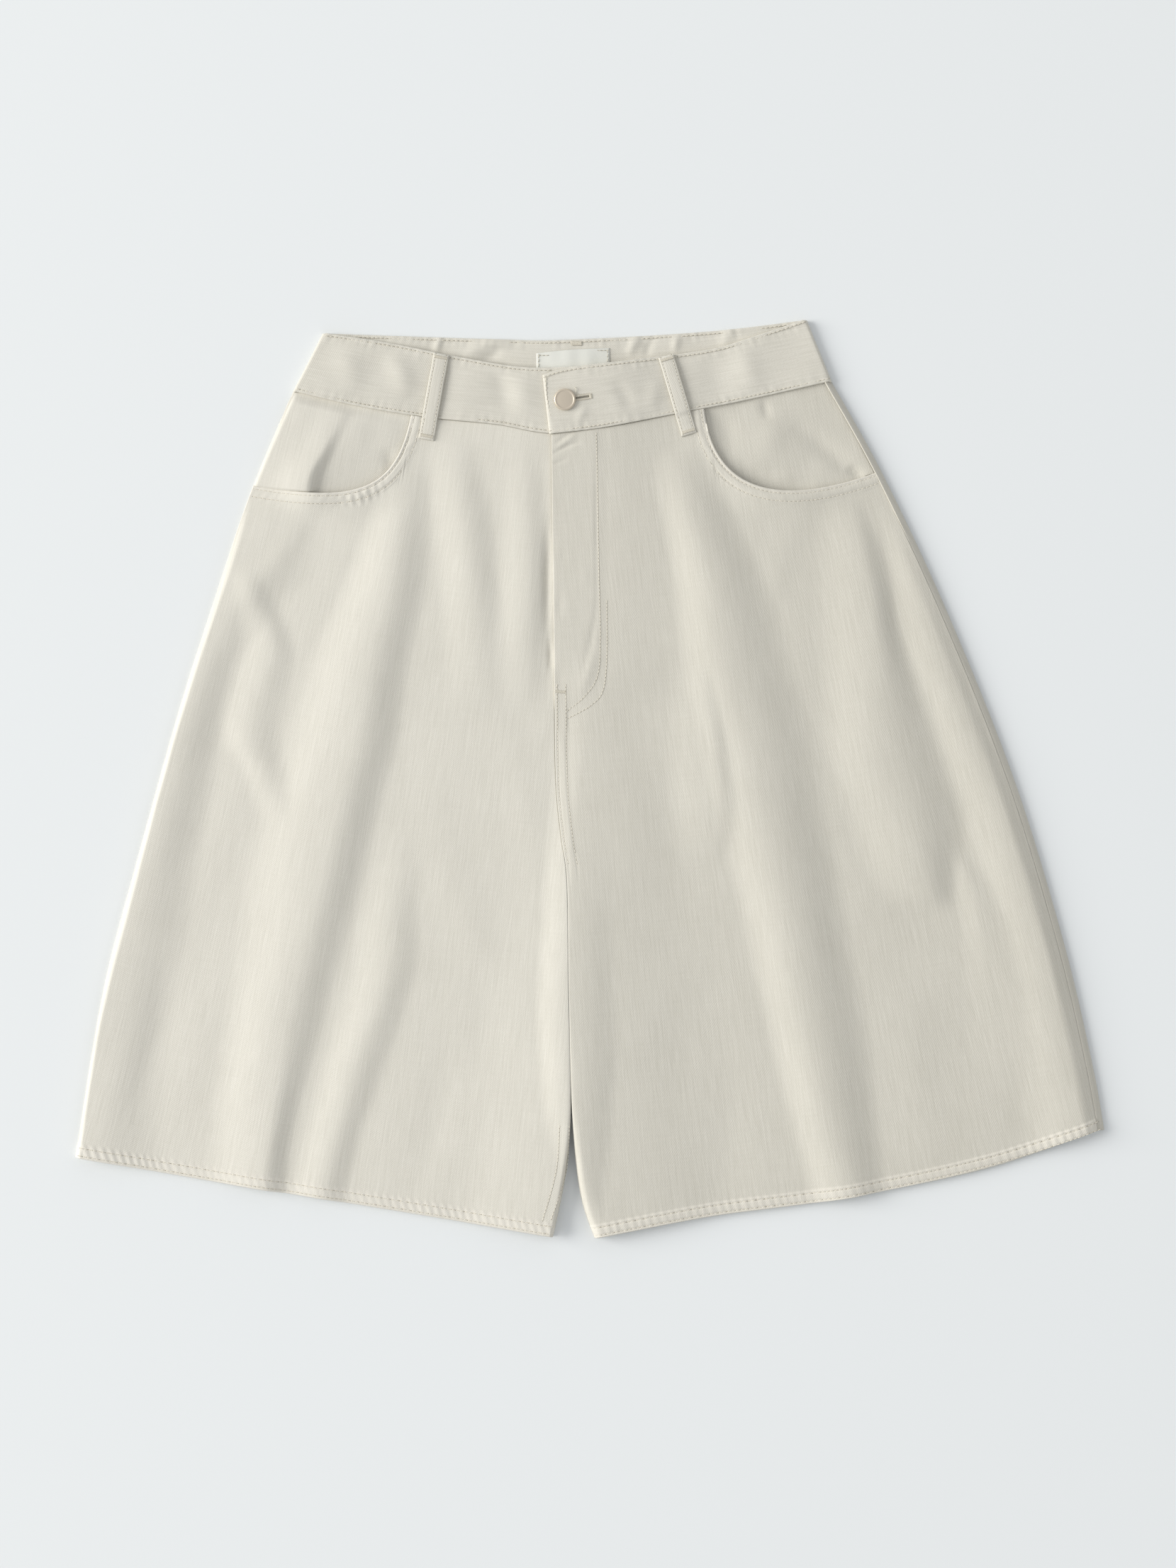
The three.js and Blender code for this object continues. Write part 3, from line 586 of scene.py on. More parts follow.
FLY_CREASES = [
    Crease((-28, 228.5), (-9, 237), 1.3, -0.75, 0.8),
    Crease((-24, 233), (-11, 242), 1.6, 0.5, 0.4),
    Crease((-26, 236), (-14, 244), 1.2, -0.4),
    Crease((-28, 221.5), (-17, 225), 1.1, -0.45),
    Crease((-27, 164), (-16, 156), 1.4, -0.35, -1.0),
    Crease((-17, 143), (2, 141.5), 0.9, 0.35, 0.6),
    Crease((-26, 133), (-13, 134), 1.0, -0.4),
    Crease((-26, 121), (-18, 125), 1.0, -0.55),
    Crease((-16, 114), (1, 115), 1.0, 0.45, 1.2),
    Crease((-14, 111), (2, 112), 1.2, -0.35, 1.0),
    Crease((-25.5, 70.6), (-11, 69.6), 0.7, -0.75, 0.3),
    Crease((3, 225), (3.4, 124), 1.5, -0.28),
    Crease((3.4, 124), (-6, 76), 2.0, -0.5, 1.5),
    Crease((1, 88), (-9, 60), 3.0, 0.55, 1.0),
]
PANEL_CREASES = [
    Crease((-31, 172), (-31.5, 108), 3.0, -1.5),
    Crease((-29.5, 96), (-28.5, 78), 2.0, -1.0),
    Crease((-198, 196), (-252, 120), 9.0, 0.8, 6),
    Crease((-110, -20), (-60, -150), 16.0, 0.6, -8),
    Crease((30, 60), (66, -120), 18.0, -0.7, 6),
    Crease((-66, 40), (-40, -60), 14.0, 0.5, 5),
    Crease((150, 190), (128, 120), 10.0, 0.6, -5),
    Crease((-300, -130), (-322, -230), 10.0, -0.7, 4),
    Crease((-104, -170), (-118, -280), 13.0, -0.6, 4),
    Crease((214, -150), (238, -270), 16.0, 0.6, 4),
    Crease((96, -180), (92, -300), 15.0, -0.5, 4),
]


def fold_height(x: Array, y: Array) -> Array:
    """How high the folds stand, flattened towards FOLD_TOP."""
    total = sum(fold.height(x, y) for fold in FOLDS)
    return FOLD_TOP * np.tanh(np.maximum(total, 0) / FOLD_TOP)


def waist_lift(x: Array, y: Array) -> Array:
    """The front is held up near the closure by the lapped ends of the waistband."""
    return LAYERS.waist_lift * bell((x - LAYERS.closure_x) / LAYERS.closure_reach) * ramp(y, 180, 262)


# Meshes.
def in_frame(points: Array) -> Array:
    """Points of the drawing, in metres in the frame."""
    return (points + np.array([SHIFT[0], SHIFT[1], 0])) * MM


def link_new(name: str, data: bpy.types.ID) -> Object:
    """Makes an object at the origin and links it into the scene.

    Args:
        name: its name.
        data: its mesh, light or camera.

    Returns:
        The object.
    """
    piece = bpy.data.objects.new(name, data)
    bpy.context.scene.collection.objects.link(piece)
    return piece


def add_mesh(
    name: str, points: Array, faces: Array, cloth: Array | None, material: Material, wear: Array | None = None
) -> Object:
    """Makes a smooth shaded object.

    Args:
        name: the piece's name.
        points: its corners, in millimetres on the drawing.
        faces: rows of corner numbers.
        cloth: each corner's place on the flat cloth in millimetres, or None.
        material: its finish.
        wear: each corner's share of the paler tone along the hem and the pocket's edge, or None.

    Returns:
        The new object, at the origin.
    """
    mesh = bpy.data.meshes.new(name)
    placed = in_frame(points)
    mesh.vertices.add(len(placed))
    mesh.vertices.foreach_set("co", placed.astype(np.float32).ravel())
    count, sides = faces.shape
    mesh.loops.add(count * sides)
    mesh.loops.foreach_set("vertex_index", faces.astype(np.int32).ravel())
    mesh.polygons.add(count)
    mesh.polygons.foreach_set("loop_start", np.arange(0, count * sides, sides, dtype=np.int32))
    mesh.update(calc_edges=True)
    mesh.shade_smooth()
    if cloth is not None:
        layer = mesh.uv_layers.new(name="cloth")
        layer.data.foreach_set("uv", (cloth[faces.ravel()] * MM).astype(np.float32).ravel())
    if wear is not None:
        mesh.attributes.new("wear", "FLOAT", "POINT").data.foreach_set("value", wear.astype(np.float32))
    mesh.materials.append(material)
    mesh.validate()
    return link_new(name, mesh)


def shell(outer: Array, thickness: Array | float, facing: int, upright: Array | float = 0.0) -> tuple[Array, Array]:
    """A closed wall of cloth behind an outer grid.

    Args:
        outer: rows of points on the outside.
        thickness: the wall's, at each point or overall.
        facing: 1 where the grid's own normals point out of the cloth, and -1 where they point into it.
        upright: share by which the wall stands straight down instead of square to the outside.

    Returns:
        The wall's points and its four-sided faces.
    """
    along, down = np.gradient(outer, axis=1), np.gradient(outer, axis=0)
    normal = np.cross(along, down)
    normal /= np.linalg.norm(normal, axis=2)[..., None]
    share = np.broadcast_to(np.asarray(upright, float), outer.shape[:2])[..., None]
    normal = normal * (1 - share) + np.array([0.0, 0.0, facing]) * share
    depth = np.broadcast_to(np.asarray(thickness, float), outer.shape[:2])
    inner = outer - facing * normal * depth[..., None]
    rows, columns = outer.shape[:2]
    front = np.arange(rows * columns).reshape(rows, columns)
    back = front + rows * columns

    def quads(a: Array, b: Array, c: Array, d: Array) -> Array:
        """Faces from four grids of corners."""
        corners = [a, b, c, d] if facing > 0 else [a, d, c, b]
        return np.stack([k.ravel() for k in corners], axis=1)

    faces = [
        quads(front[:-1, :-1], front[:-1, 1:], front[1:, 1:], front[1:, :-1]),
        quads(back[:-1, :-1], back[1:, :-1], back[1:, 1:], back[:-1, 1:]),
        quads(front[0, :-1], back[0, :-1], back[0, 1:], front[0, 1:]),
        quads(front[-1, :-1], front[-1, 1:], back[-1, 1:], back[-1, :-1]),
        quads(front[:-1, 0], front[1:, 0], back[1:, 0], back[:-1, 0]),
        quads(front[:-1, -1], back[:-1, -1], back[1:, -1], front[1:, -1]),
    ]
    return np.concatenate([outer.reshape(-1, 3), inner.reshape(-1, 3)]), np.concatenate(faces)


def dress(piece: Object, slot: Slot, *nodes: str) -> Object:
    """Rides a piece on the garment, names the nodes that it stands for, and reports it.

    Args:
        piece: the finished object.
        slot: not used.
        *nodes: the solids' names.

    Returns:
        The piece.
    """
    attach(piece, BODY)
    if nodes:
        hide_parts(*nodes)
    log.info("%s: %d faces%s", piece.name, len(piece.data.polygons), ", for " + ", ".join(nodes) if nodes else "")
    return piece


# Shader graphs.
class Socket:
    """A value in a shader graph, with arithmetic that adds Math nodes."""

    def __init__(self, graph: "Graph", link: NodeSocket) -> None:
        """Wraps an output socket."""
        self.graph = graph
        self.link = link

    def _math(self, operation: str, *values: "Socket | float") -> "Socket":
        """Adds a Math node."""
        return self.graph.node("ShaderNodeMath", {"operation": operation}, dict(enumerate(values)))

    def __add__(self, other: "Socket | float") -> "Socket":
        """Sum."""
        return self._math("ADD", self, other)

    def __sub__(self, other: "Socket | float") -> "Socket":
        """Difference."""
        return self._math("SUBTRACT", self, other)

    def __rsub__(self, other: float) -> "Socket":
        """Difference from a number."""
        return self._math("SUBTRACT", other, self)

    def __mul__(self, other: "Socket | float") -> "Socket":
        """Product."""
        return self._math("MULTIPLY", self, other)

    def __truediv__(self, other: "Socket | float") -> "Socket":
        """Quotient."""
        return self._math("DIVIDE", self, other)

    def __rtruediv__(self, other: float) -> "Socket":
        """Quotient of a number by the value."""
        return self._math("DIVIDE", other, self)

    __radd__ = __add__
    __rmul__ = __mul__

    def sine(self) -> "Socket":
        """Sine of an angle."""
        return self._math("SINE", self)

    def clamped(self) -> "Socket":
        """The value held from 0 to 1."""
        return self.graph.node("ShaderNodeClamp", {}, {0: self})


class Graph:
    """A material's node graph."""

    def __init__(self, name: str) -> None:
        """Starts an empty material.

        Args:
            name: the material's.
        """
        self.material = bpy.data.materials.new(name)
        self.material.use_nodes = True
        self.tree = self.material.node_tree
        self.tree.nodes.clear()

    def node(self, kind: str, settings: dict, values: dict, output: int | str = 0) -> Socket:
        """Adds a node.

        Args:
            kind: its type.
            settings: its properties, set first.
            values: numbers, colours or links for its inputs, by number or name.
            output: which output is wanted.

        Returns:
            That output.
        """
        made = self.tree.nodes.new(kind)
        for key, value in settings.items():
            setattr(made, key, value)
        for key, value in values.items():
            if isinstance(value, Socket):
                self.tree.links.new(value.link, made.inputs[key])
            else:
                made.inputs[key].default_value = value
        return Socket(self, made.outputs[output])

    def noise(self, place: Socket, scale: float, detail: float, roughness: float = 0.5) -> Socket:
        """Noise about 0.5 on a flat place.

        Args:
            place: a flat vector.
            scale: how fine it is.
            detail: how many finer layers.
            roughness: how strong those are.

        Returns:
            The noise.
        """
        return self.node(
            "ShaderNodeTexNoise",
            {"noise_dimensions": "2D"},
            {"Vector": place, "Scale": scale, "Detail": detail, "Roughness": roughness},
        )

    def pair(self, x: Socket, y: Socket) -> Socket:
        """A vector in the plane."""
        return self.node("ShaderNodeCombineXYZ", {}, {0: x, 1: y})

    def mix(self, share: Socket, first: Sequence[float] | Socket, second: Sequence[float] | Socket) -> Socket:
        """A colour between two."""
        return self.node("ShaderNodeMix", {"data_type": "RGBA"}, {0: share, 6: first, 7: second}, 2)

    def finish(self, sockets: dict) -> Material:
        """Ends the graph in a Principled shader with the given inputs.

        Args:
            sockets: numbers, colours or links, by input name.

        Returns:
            The material.
        """
        surface = self.node("ShaderNodeBsdfPrincipled", {}, sockets)
        self.node_output(surface)
        return self.material

    def node_output(self, surface: Socket) -> None:
        """Adds the material's output."""
        end = self.tree.nodes.new("ShaderNodeOutputMaterial")
        self.tree.links.new(surface.link, end.inputs["Surface"])


def colour(red: float, green: float, blue: float) -> tuple[float, float, float, float]:
    """A linear colour from display values of 0 to 255."""
    linear = [((c / 255 + 0.055) / 1.055) ** 2.4 for c in (red, green, blue)]
    return (*linear, 1.0)


@dataclass(frozen=True)
class Twill:
    """Undyed cotton twill with slubs, drawn on the cloth's own map: u across the warp and v along it.

    The ribs stand `pitch` apart at `steepness` degrees. `shading` is painted shade: it darkens the cloth a little for
    each millimetre towards the wearer's left, away from the key light, and `level` is taken off the tone everywhere.
    `wear` is the share of the paler tone along the hem and the pocket's edge. `bump` and `bump_depth` are the relief's
    strength and depth.
    """

    name: str = "ecru_twill"
    dark: tuple[float, float, float] = (203, 199, 187)
    light: tuple[float, float, float] = (229, 225, 214)
    rubbed: tuple[float, float, float] = (244, 238, 228)
    pitch: float = 1.08
    steepness: float = 50.0
    shading: float = 0.0007
    level: float = 0.44
    wear: float = 0.22
    bump: float = 0.5
    bump_depth: float = 0.45

    def material(self) -> Material:
        """Builds the finish.

        Returns:
            The material.
        """
        g = Graph(self.name)
        place = g.node("ShaderNodeUVMap", {"uv_map": "cloth"}, {})
        split = g.node("ShaderNodeSeparateXYZ", {}, {0: place})
        u = split / MM
        v = Socket(g, split.link.node.outputs[1]) / MM
        angle = math.radians(self.steepness)
        wander = g.noise(g.pair(u * 0.05, v * 0.02), 1.0, 2.0)
        phase = (u * math.sin(angle) - v * math.cos(angle)) / self.pitch + wander * 3.0
        rib = (phase * (2 * math.pi)).sine() * 0.5 + 0.5
        yarn = g.noise(g.pair(u / 0.75, v / 20.0), 1.0, 2.0)
        slub = g.noise(g.pair(u / 1.5, v / 55.0), 1.0, 3.0, 0.6)
        weft = g.noise(g.pair(u / 24.0, v / 0.9), 1.0, 2.0)
        cloud = g.noise(g.pair(u / 34.0, v / 60.0), 1.0, 2.0)
        grain = g.noise(g.pair(u / 0.8, v / 1.6), 1.0, 2.0)
        tone = yarn * 0.55 + slub * 0.5 + weft * 0.2 + cloud * 0.2 + grain * 0.35 + rib * 0.1
        # Painted shade: the tone is taken down towards the wearer's left, away from the key light, where the light
        # falls off.
        tone = tone - u * self.shading - self.level
        # A paler tone along the hem and the pocket's edge, from an attribute set on the front panels.
        surface_marks = g.node("ShaderNodeAttribute", {"attribute_name": "wear"}, {}, "Fac")
        base = g.mix(tone.clamped(), colour(*self.dark), colour(*self.light))
        base = g.mix(surface_marks.clamped() * self.wear, base, colour(*self.rubbed))
        height = rib * 0.22 + yarn * 0.22 + slub * 0.14 + weft * 0.12 + grain * 0.3
        bump = g.node(
            "ShaderNodeBump", {}, {"Strength": self.bump, "Distance": self.bump_depth * MM, "Height": height}
        )
        return g.finish(
            {"Base Color": base, "Normal": bump, "Roughness": 0.92, "Specular IOR Level": 0.25, "Sheen Weight": 0.12,
             "Sheen Roughness": 0.5}
        )


@dataclass(frozen=True)
class Plain:
    """A plain finish with a fine grain in its relief."""

    name: str
    shade: tuple[float, float, float]
    roughness: float = 0.9
    metallic: float = 0.0
    grain: float = 0.0
    grain_scale: float = 900.0

    def material(self) -> Material:
        """Builds the finish.

        Returns:
            The material.
        """
        g = Graph(self.name)
        sockets: dict = {"Base Color": colour(*self.shade), "Roughness": self.roughness, "Metallic": self.metallic}
        if self.grain:
            place = g.node("ShaderNodeTexCoord", {}, {}, "Object")
            speck = g.node("ShaderNodeTexNoise", {}, {"Vector": place, "Scale": self.grain_scale, "Detail": 2.0})
            sockets["Normal"] = g.node(
                "ShaderNodeBump", {}, {"Strength": self.grain, "Distance": 0.2 * MM, "Height": speck}
            )
        return g.finish(sockets)


@dataclass(frozen=True)
class Wardrobe:
    """All finishes, made once."""

    twill: Material
    thread: Material
    shade: Material
    cotton: Material
    satin: Material
    metal: Material
    floor: Material

    @staticmethod
    def made() -> "Wardrobe":
        """Builds each finish.

        Returns:
            The finishes.
        """
        return Wardrobe(
            twill=Twill().material(),
            thread=Plain("ecru_thread", (222, 216, 201), 0.7, 0.0, 0.5, 2500).material(),
            # Painted shade: dark discs between the stitches stand for the shadow where the thread goes into the cloth.
            shade=Plain("needle_hole", (163, 156, 141), 1.0).material(),
            cotton=Plain("pocket_cotton", (226, 223, 212), 0.95, 0.0, 0.4).material(),
            satin=Plain("label_satin", (226, 226, 218), 0.45, 0.0, 0.25, 1500).material(),
            metal=Plain("champagne_nickel", (214, 202, 184), 0.36, 0.5, 0.15, 1400).material(),
            floor=Plain("studio_floor", (235, 238, 239), 0.95).material(),
        )


# Sewing.
class StitchTree:
    """The node tree that lays stitches along lines: each is a short round thread, set along or across the line."""

    NAME = "stitch_row"
    SIZES = {"Pitch": 3.1, "Length": 2.5, "Width": 0.6, "Height": 0.5, "Turn": 0.0, "Sway": 0.1, "Shift": 0.0}

    def __init__(self) -> None:
        """Builds the tree."""
        tree = bpy.data.node_groups.new(self.NAME, "GeometryNodeTree")
        self.tree = tree
        face = tree.interface
        face.new_socket("Geometry", in_out="INPUT", socket_type="NodeSocketGeometry")
        for name, value in self.SIZES.items():
            face.new_socket(name, in_out="INPUT", socket_type="NodeSocketFloat").default_value = value
        face.new_socket("Seed", in_out="INPUT", socket_type="NodeSocketInt").default_value = 3
        face.new_socket("Material", in_out="INPUT", socket_type="NodeSocketMaterial")
        face.new_socket("Geometry", in_out="OUTPUT", socket_type="NodeSocketGeometry")
        start = self._add("NodeGroupInput", {}).outputs
        curve = self._add("GeometryNodeMeshToCurve", {"Mesh": start["Geometry"]})
        even = self._add(
            "GeometryNodeResampleCurve", {"Curve": curve.outputs[0], "Length": start["Pitch"]}, mode="LENGTH"
        )
        tangent = self._add("GeometryNodeInputTangent", {})
        align = self._add("FunctionNodeAlignRotationToVector", {"Vector": tangent.outputs[0]}, axis="X")
        sway = self._add(
            "FunctionNodeRandomValue",
            {"Min": self._negative(start["Sway"]), "Max": start["Sway"], "Seed": start["Seed"]},
            data_type="FLOAT",
        )
        turned = self._math("ADD", sway.outputs[1], start["Turn"])
        spin = self._add("ShaderNodeCombineXYZ", {"Z": turned})
        euler = self._add("FunctionNodeEulerToRotation", {"Euler": spin.outputs[0]})
        rotate = self._add(
            "FunctionNodeRotateRotation",
            {"Rotation": align.outputs[0], "Rotate By": euler.outputs[0]},
            rotation_space="LOCAL",
        )
        ball = self._add("GeometryNodeMeshUVSphere", {"Segments": 8, "Rings": 5, "Radius": 0.5})
        size = self._add("ShaderNodeCombineXYZ", {"X": start["Length"], "Y": start["Width"], "Z": start["Height"]})
        shaped = self._add("GeometryNodeTransform", {"Geometry": ball.outputs[0], "Scale": size.outputs[0]})
        placed = self._add(
            "GeometryNodeInstanceOnPoints",
            {"Points": even.outputs[0], "Instance": shaped.outputs[0], "Rotation": rotate.outputs[0]},
        )
        step = self._add("ShaderNodeCombineXYZ", {"X": start["Shift"]})
        moved = self._add(
            "GeometryNodeTranslateInstances", {"Instances": placed.outputs[0], "Translation": step.outputs[0]}
        )
        real = self._add("GeometryNodeRealizeInstances", {"Geometry": moved.outputs[0]})
        smooth = self._add("GeometryNodeSetShadeSmooth", {"Geometry": real.outputs[0]})
        finish = self._add(
            "GeometryNodeSetMaterial", {"Geometry": smooth.outputs[0], "Material": start["Material"]}
        )
        self._add("NodeGroupOutput", {"Geometry": finish.outputs[0]})

    def _add(self, kind: str, inputs: dict, **settings: str) -> bpy.types.Node:
        """Adds a node with its settings and inputs.

        Args:
            kind: its type.
            inputs: numbers or links, by input.
            **settings: its properties.

        Returns:
            The node.
        """
        node = self.tree.nodes.new(kind)
        for key, value in settings.items():
            setattr(node, key, value)
        for key, value in inputs.items():
            if isinstance(value, NodeSocket):
                self.tree.links.new(value, node.inputs[key])
            else:
                node.inputs[key].default_value = value
        return node

    def _math(self, operation: str, first: NodeSocket, second: NodeSocket | float) -> NodeSocket:
        """Adds a Math node."""
        return self._add("ShaderNodeMath", {0: first, 1: second}, operation=operation).outputs[0]

    def _negative(self, value: NodeSocket) -> NodeSocket:
        """The value with its sign changed."""
        return self._math("MULTIPLY", value, -1.0)


@dataclass(frozen=True)
class Stitch:
    """A kind of stitching. Lengths are in millimetres and turns in radians."""

    pitch: float = 3.1
    length: float = 2.55
    width: float = 0.62
    height: float = 0.55
    turn: float = 0.0
    sway: float = 0.06
    shift: float = 0.0
    # Whether dark discs of painted shade are laid between the stitches.
    punched: bool = False


TOPSTITCH = Stitch(punched=True)
FINE_STITCH = Stitch(pitch=2.6, length=2.1, width=0.5, height=0.45, punched=True)
BAR_TACK = Stitch(pitch=0.42, length=2.3, width=0.45, height=0.6, turn=math.pi / 2, sway=0.12)
# Painted shade: a dark disc between two stitches, for the shadow where the thread goes into the cloth.
STITCH_SHADE_DISC = Stitch(length=0.7, width=0.62, height=0.28)
SHADE_DISC_SINK = 0.02
BUTTONHOLE_STITCH = Stitch(pitch=0.46, length=1.7, width=0.46, height=0.75, turn=math.pi / 2, sway=0.1)


@dataclass
class Sewing:
    """All stitching of one piece, one list of lines for each kind of stitch."""

    name: str
    tree: StitchTree
    wardrobe: Wardrobe
    rows: list[tuple[Stitch, Array]] = field(default_factory=list)

    def sew(self, stitch: Stitch, path: Array) -> None:
        """Adds a row along points in millimetres on the drawing."""
        self.rows.append((stitch, np.asarray(path, float)))

    def make(self) -> None:
        """Lays the stitches, one plain mesh for each kind, and, for the kinds that have them, dark discs of painted
        shade between the stitches.
        """
        for number, stitch in enumerate(dict.fromkeys(s for s, _ in self.rows)):
            lines = [path for s, path in self.rows if s is stitch]
            self._lay(f"{self.name}_{number}", stitch, lines, self.wardrobe.thread, number + 5)
            # Painted shade between the stitches: dark discs sunk a little below the thread.
            if stitch.punched:
                hole = replace(STITCH_SHADE_DISC, pitch=stitch.pitch, shift=stitch.pitch / 2)
                low = [path - np.array([0, 0, SHADE_DISC_SINK]) for path in lines]
                self._lay(f"{self.name}_{number}_holes", hole, low, self.wardrobe.shade, number + 9)

    def _lay(self, name: str, stitch: Stitch, lines: list[Array], material: Material, seed: int) -> Object:
        """Runs the tree on one kind's lines and keeps its result.

        Args:
            name: the new object's.
            stitch: the kind.
            lines: each row's points on the drawing.
            material: the thread's finish.
            seed: picks the sway.

        Returns:
            The stitches.
        """
        points, edges = [], []
        for line in lines:
            first = sum(len(p) for p in points)
            points.append(in_frame(line))
            edges += [(first + i, first + i + 1) for i in range(len(line) - 1)]
        guide = bpy.data.meshes.new(name)
        guide.from_pydata(np.concatenate(points).tolist(), edges, [])
        carrier = link_new(f"{name}_guide", guide)
        modifier = carrier.modifiers.new("stitches", "NODES")
        modifier.node_group = self.tree.tree
        values = {
            "Pitch": stitch.pitch * MM, "Length": stitch.length * MM, "Width": stitch.width * MM,
            "Height": stitch.height * MM, "Turn": stitch.turn, "Sway": stitch.sway, "Shift": stitch.shift * MM,
            "Seed": seed, "Material": material,
        }
        for item in self.tree.tree.interface.items_tree:
            if item.in_out == "INPUT" and item.name in values:
                modifier[item.identifier] = values[item.name]
        graph = bpy.context.evaluated_depsgraph_get()
        mesh = bpy.data.meshes.new_from_object(carrier.evaluated_get(graph))
        carrier.modifiers.remove(modifier)
        bpy.data.objects.remove(carrier)
        mesh.name = name
        return dress(link_new(name, mesh), Slot.DENIM)


# The panels.
@dataclass
class Hem:
    """The turned hem at the bottom of each leg, with two rows of stitching and the ropy puckers between them."""

    depth: float = 9.6
    low_row: float = 1.9
    high_row: float = 7.4
    step: float = 0.75
    pucker: float = 0.22
    pitch: float = 5.8

    def share(self, above: Array) -> Array:
        """1 in the hem and 0 above it."""
        return 1 - ramp(above, self.depth - 0.5, self.depth + 1)

    def relief(self, above: Array, run: Array, seed: int) -> Array:
        """Height that the hem adds.

        Args:
            above: distance up from the hem's edge.
            run: length along the hem.
            seed: picks the puckers.

        Returns:
            The relief at each place.
        """
        body = self.step * (1 - ramp(above, self.high_row + 0.6, self.depth + 0.4))
        rows = 0.5 * ridge(above - self.low_row, 0.7) + 0.55 * ridge(above - self.high_row, 0.75)
        wander = 0.9 * ripple(run, 0 * run, seed, 90, 90) + 0.5 * ripple(run, 0 * run, seed + 1, 28, 28)
        slant = np.sin(2 * np.pi * (run + 0.35 * above) / self.pitch + wander)
        strength = 0.7 + 0.3 * np.sin(run / 23.0 + seed) * np.sin(run / 61.0 + 1.3 * seed)
        inside = ramp(above, 0.4, 2.6) * (1 - ramp(above, 8.0, 12.5))
        return body - rows + self.pucker * strength * slant * inside - edge_round(above, 0.8)


@dataclass
class PocketMouth:
    """The turned edge of a scoop opening, with two rows of stitching.

    On the right it rides over the bearer's ridge at ridge_x, and is drawn into puckers about drawn_x.
    """

    near_row: float = 2.3
    far_row: float = 7.9
    turned: float = 9.2
    step: float = 0.55
    gape: float = 3.0
    rounding: float = 0.6
    ridge_x: float = -198.0
    ridge_reach: float = 26.0
    ridge_lift: float = 2.7
    drawn_x: float = -161.0
    drawn_reach: float = 24.0
    drawn_pitch: float = 6.2

    def lift(self, away: Array, x: Array, leg: Leg) -> Array:
        """How far the edge stands off the bearer, most at the opening's lower inner part.

        Args:
            away: distance from the edge.
            x: places across.
            leg: the opening's leg.

        Returns:
            The height at each place.
        """
        start, end = leg.pocket.points[0, 0], leg.pocket.points[-1, 0]
        along = np.clip((x - start) / (end - start), 0, 1)
        over_ridge = self.ridge_lift * bell((x - self.ridge_x) / self.ridge_reach) * (1 - ramp(away, 0, 20))
        return self.gape * bell((along - 0.42) / 0.62) * (1 - ramp(away, 0, 26)) + over_ridge

    def relief(self, away: Array, seed: int, x: Array, y: Array) -> Array:
        """Height that the edge adds at a distance from it.

        Args:
            away: distance from the edge.
            seed: picks the puckers.
            x, y: the places.

        Returns:
            The height at each place.
        """
        body = self.step * (1 - ramp(away, self.far_row + 0.4, self.turned + 0.6))
        rows = 0.5 * ridge(away - self.near_row, 0.75) + 0.55 * ridge(away - self.far_row, 0.8)
        puckers = 0.05 * ripple(x, y, seed, 9, 9) * (1 - ramp(away, 8, 14))
        drawn = bell((x - self.drawn_x) / self.drawn_reach) * np.sin(2 * np.pi * (x + 0.3 * y) / self.drawn_pitch)
        drawn = 0.3 * drawn * ramp(away, 0.6, 3) * (1 - ramp(away, 8, 14))
        return body - rows - edge_round(away, self.rounding) + puckers + drawn


@dataclass
class Fly:
    """The front fly on the left panel: its flap edge, the facing behind it and the felled seam below."""

    foot_y: float = 48.0
    curve: float = 36.0
    width: float = 34.0
    relief_height: float = 0.5
    shield_foot_y: float = 74.0
    underlap: float = 1.6
    crotch_y: float = -52.0
    fell: float = 7.0
    rise: float = 1.5

    def lift(self, x: Array, y: Array) -> Array:
        """The fly's left side lies over the shield, and comes down to the cloth beside it."""
        return self.rise * (1 - ramp(x, 12, 60)) * ramp(y, self.foot_y - 6, self.shield_foot_y)

    def thickening(self, from_edge: Array, y: Array) -> Array:
        """The relief of the facing behind the fly, and of the felled crotch seam below it.

        Args:
            from_edge: distance from the centre seam.
            y: places up the garment.

        Returns:
            The height at each place.
        """
        width = self.width * np.sqrt(np.clip((y - self.foot_y) / self.curve, 0, 1))
        facing = np.where(y > self.foot_y, 1 - ramp(from_edge - width, -6, 5), 0)
        fell = np.where(y > self.crotch_y, 1 - ramp(from_edge, self.fell, self.fell + 3), 0)
        return self.relief_height * np.maximum(facing, fell)


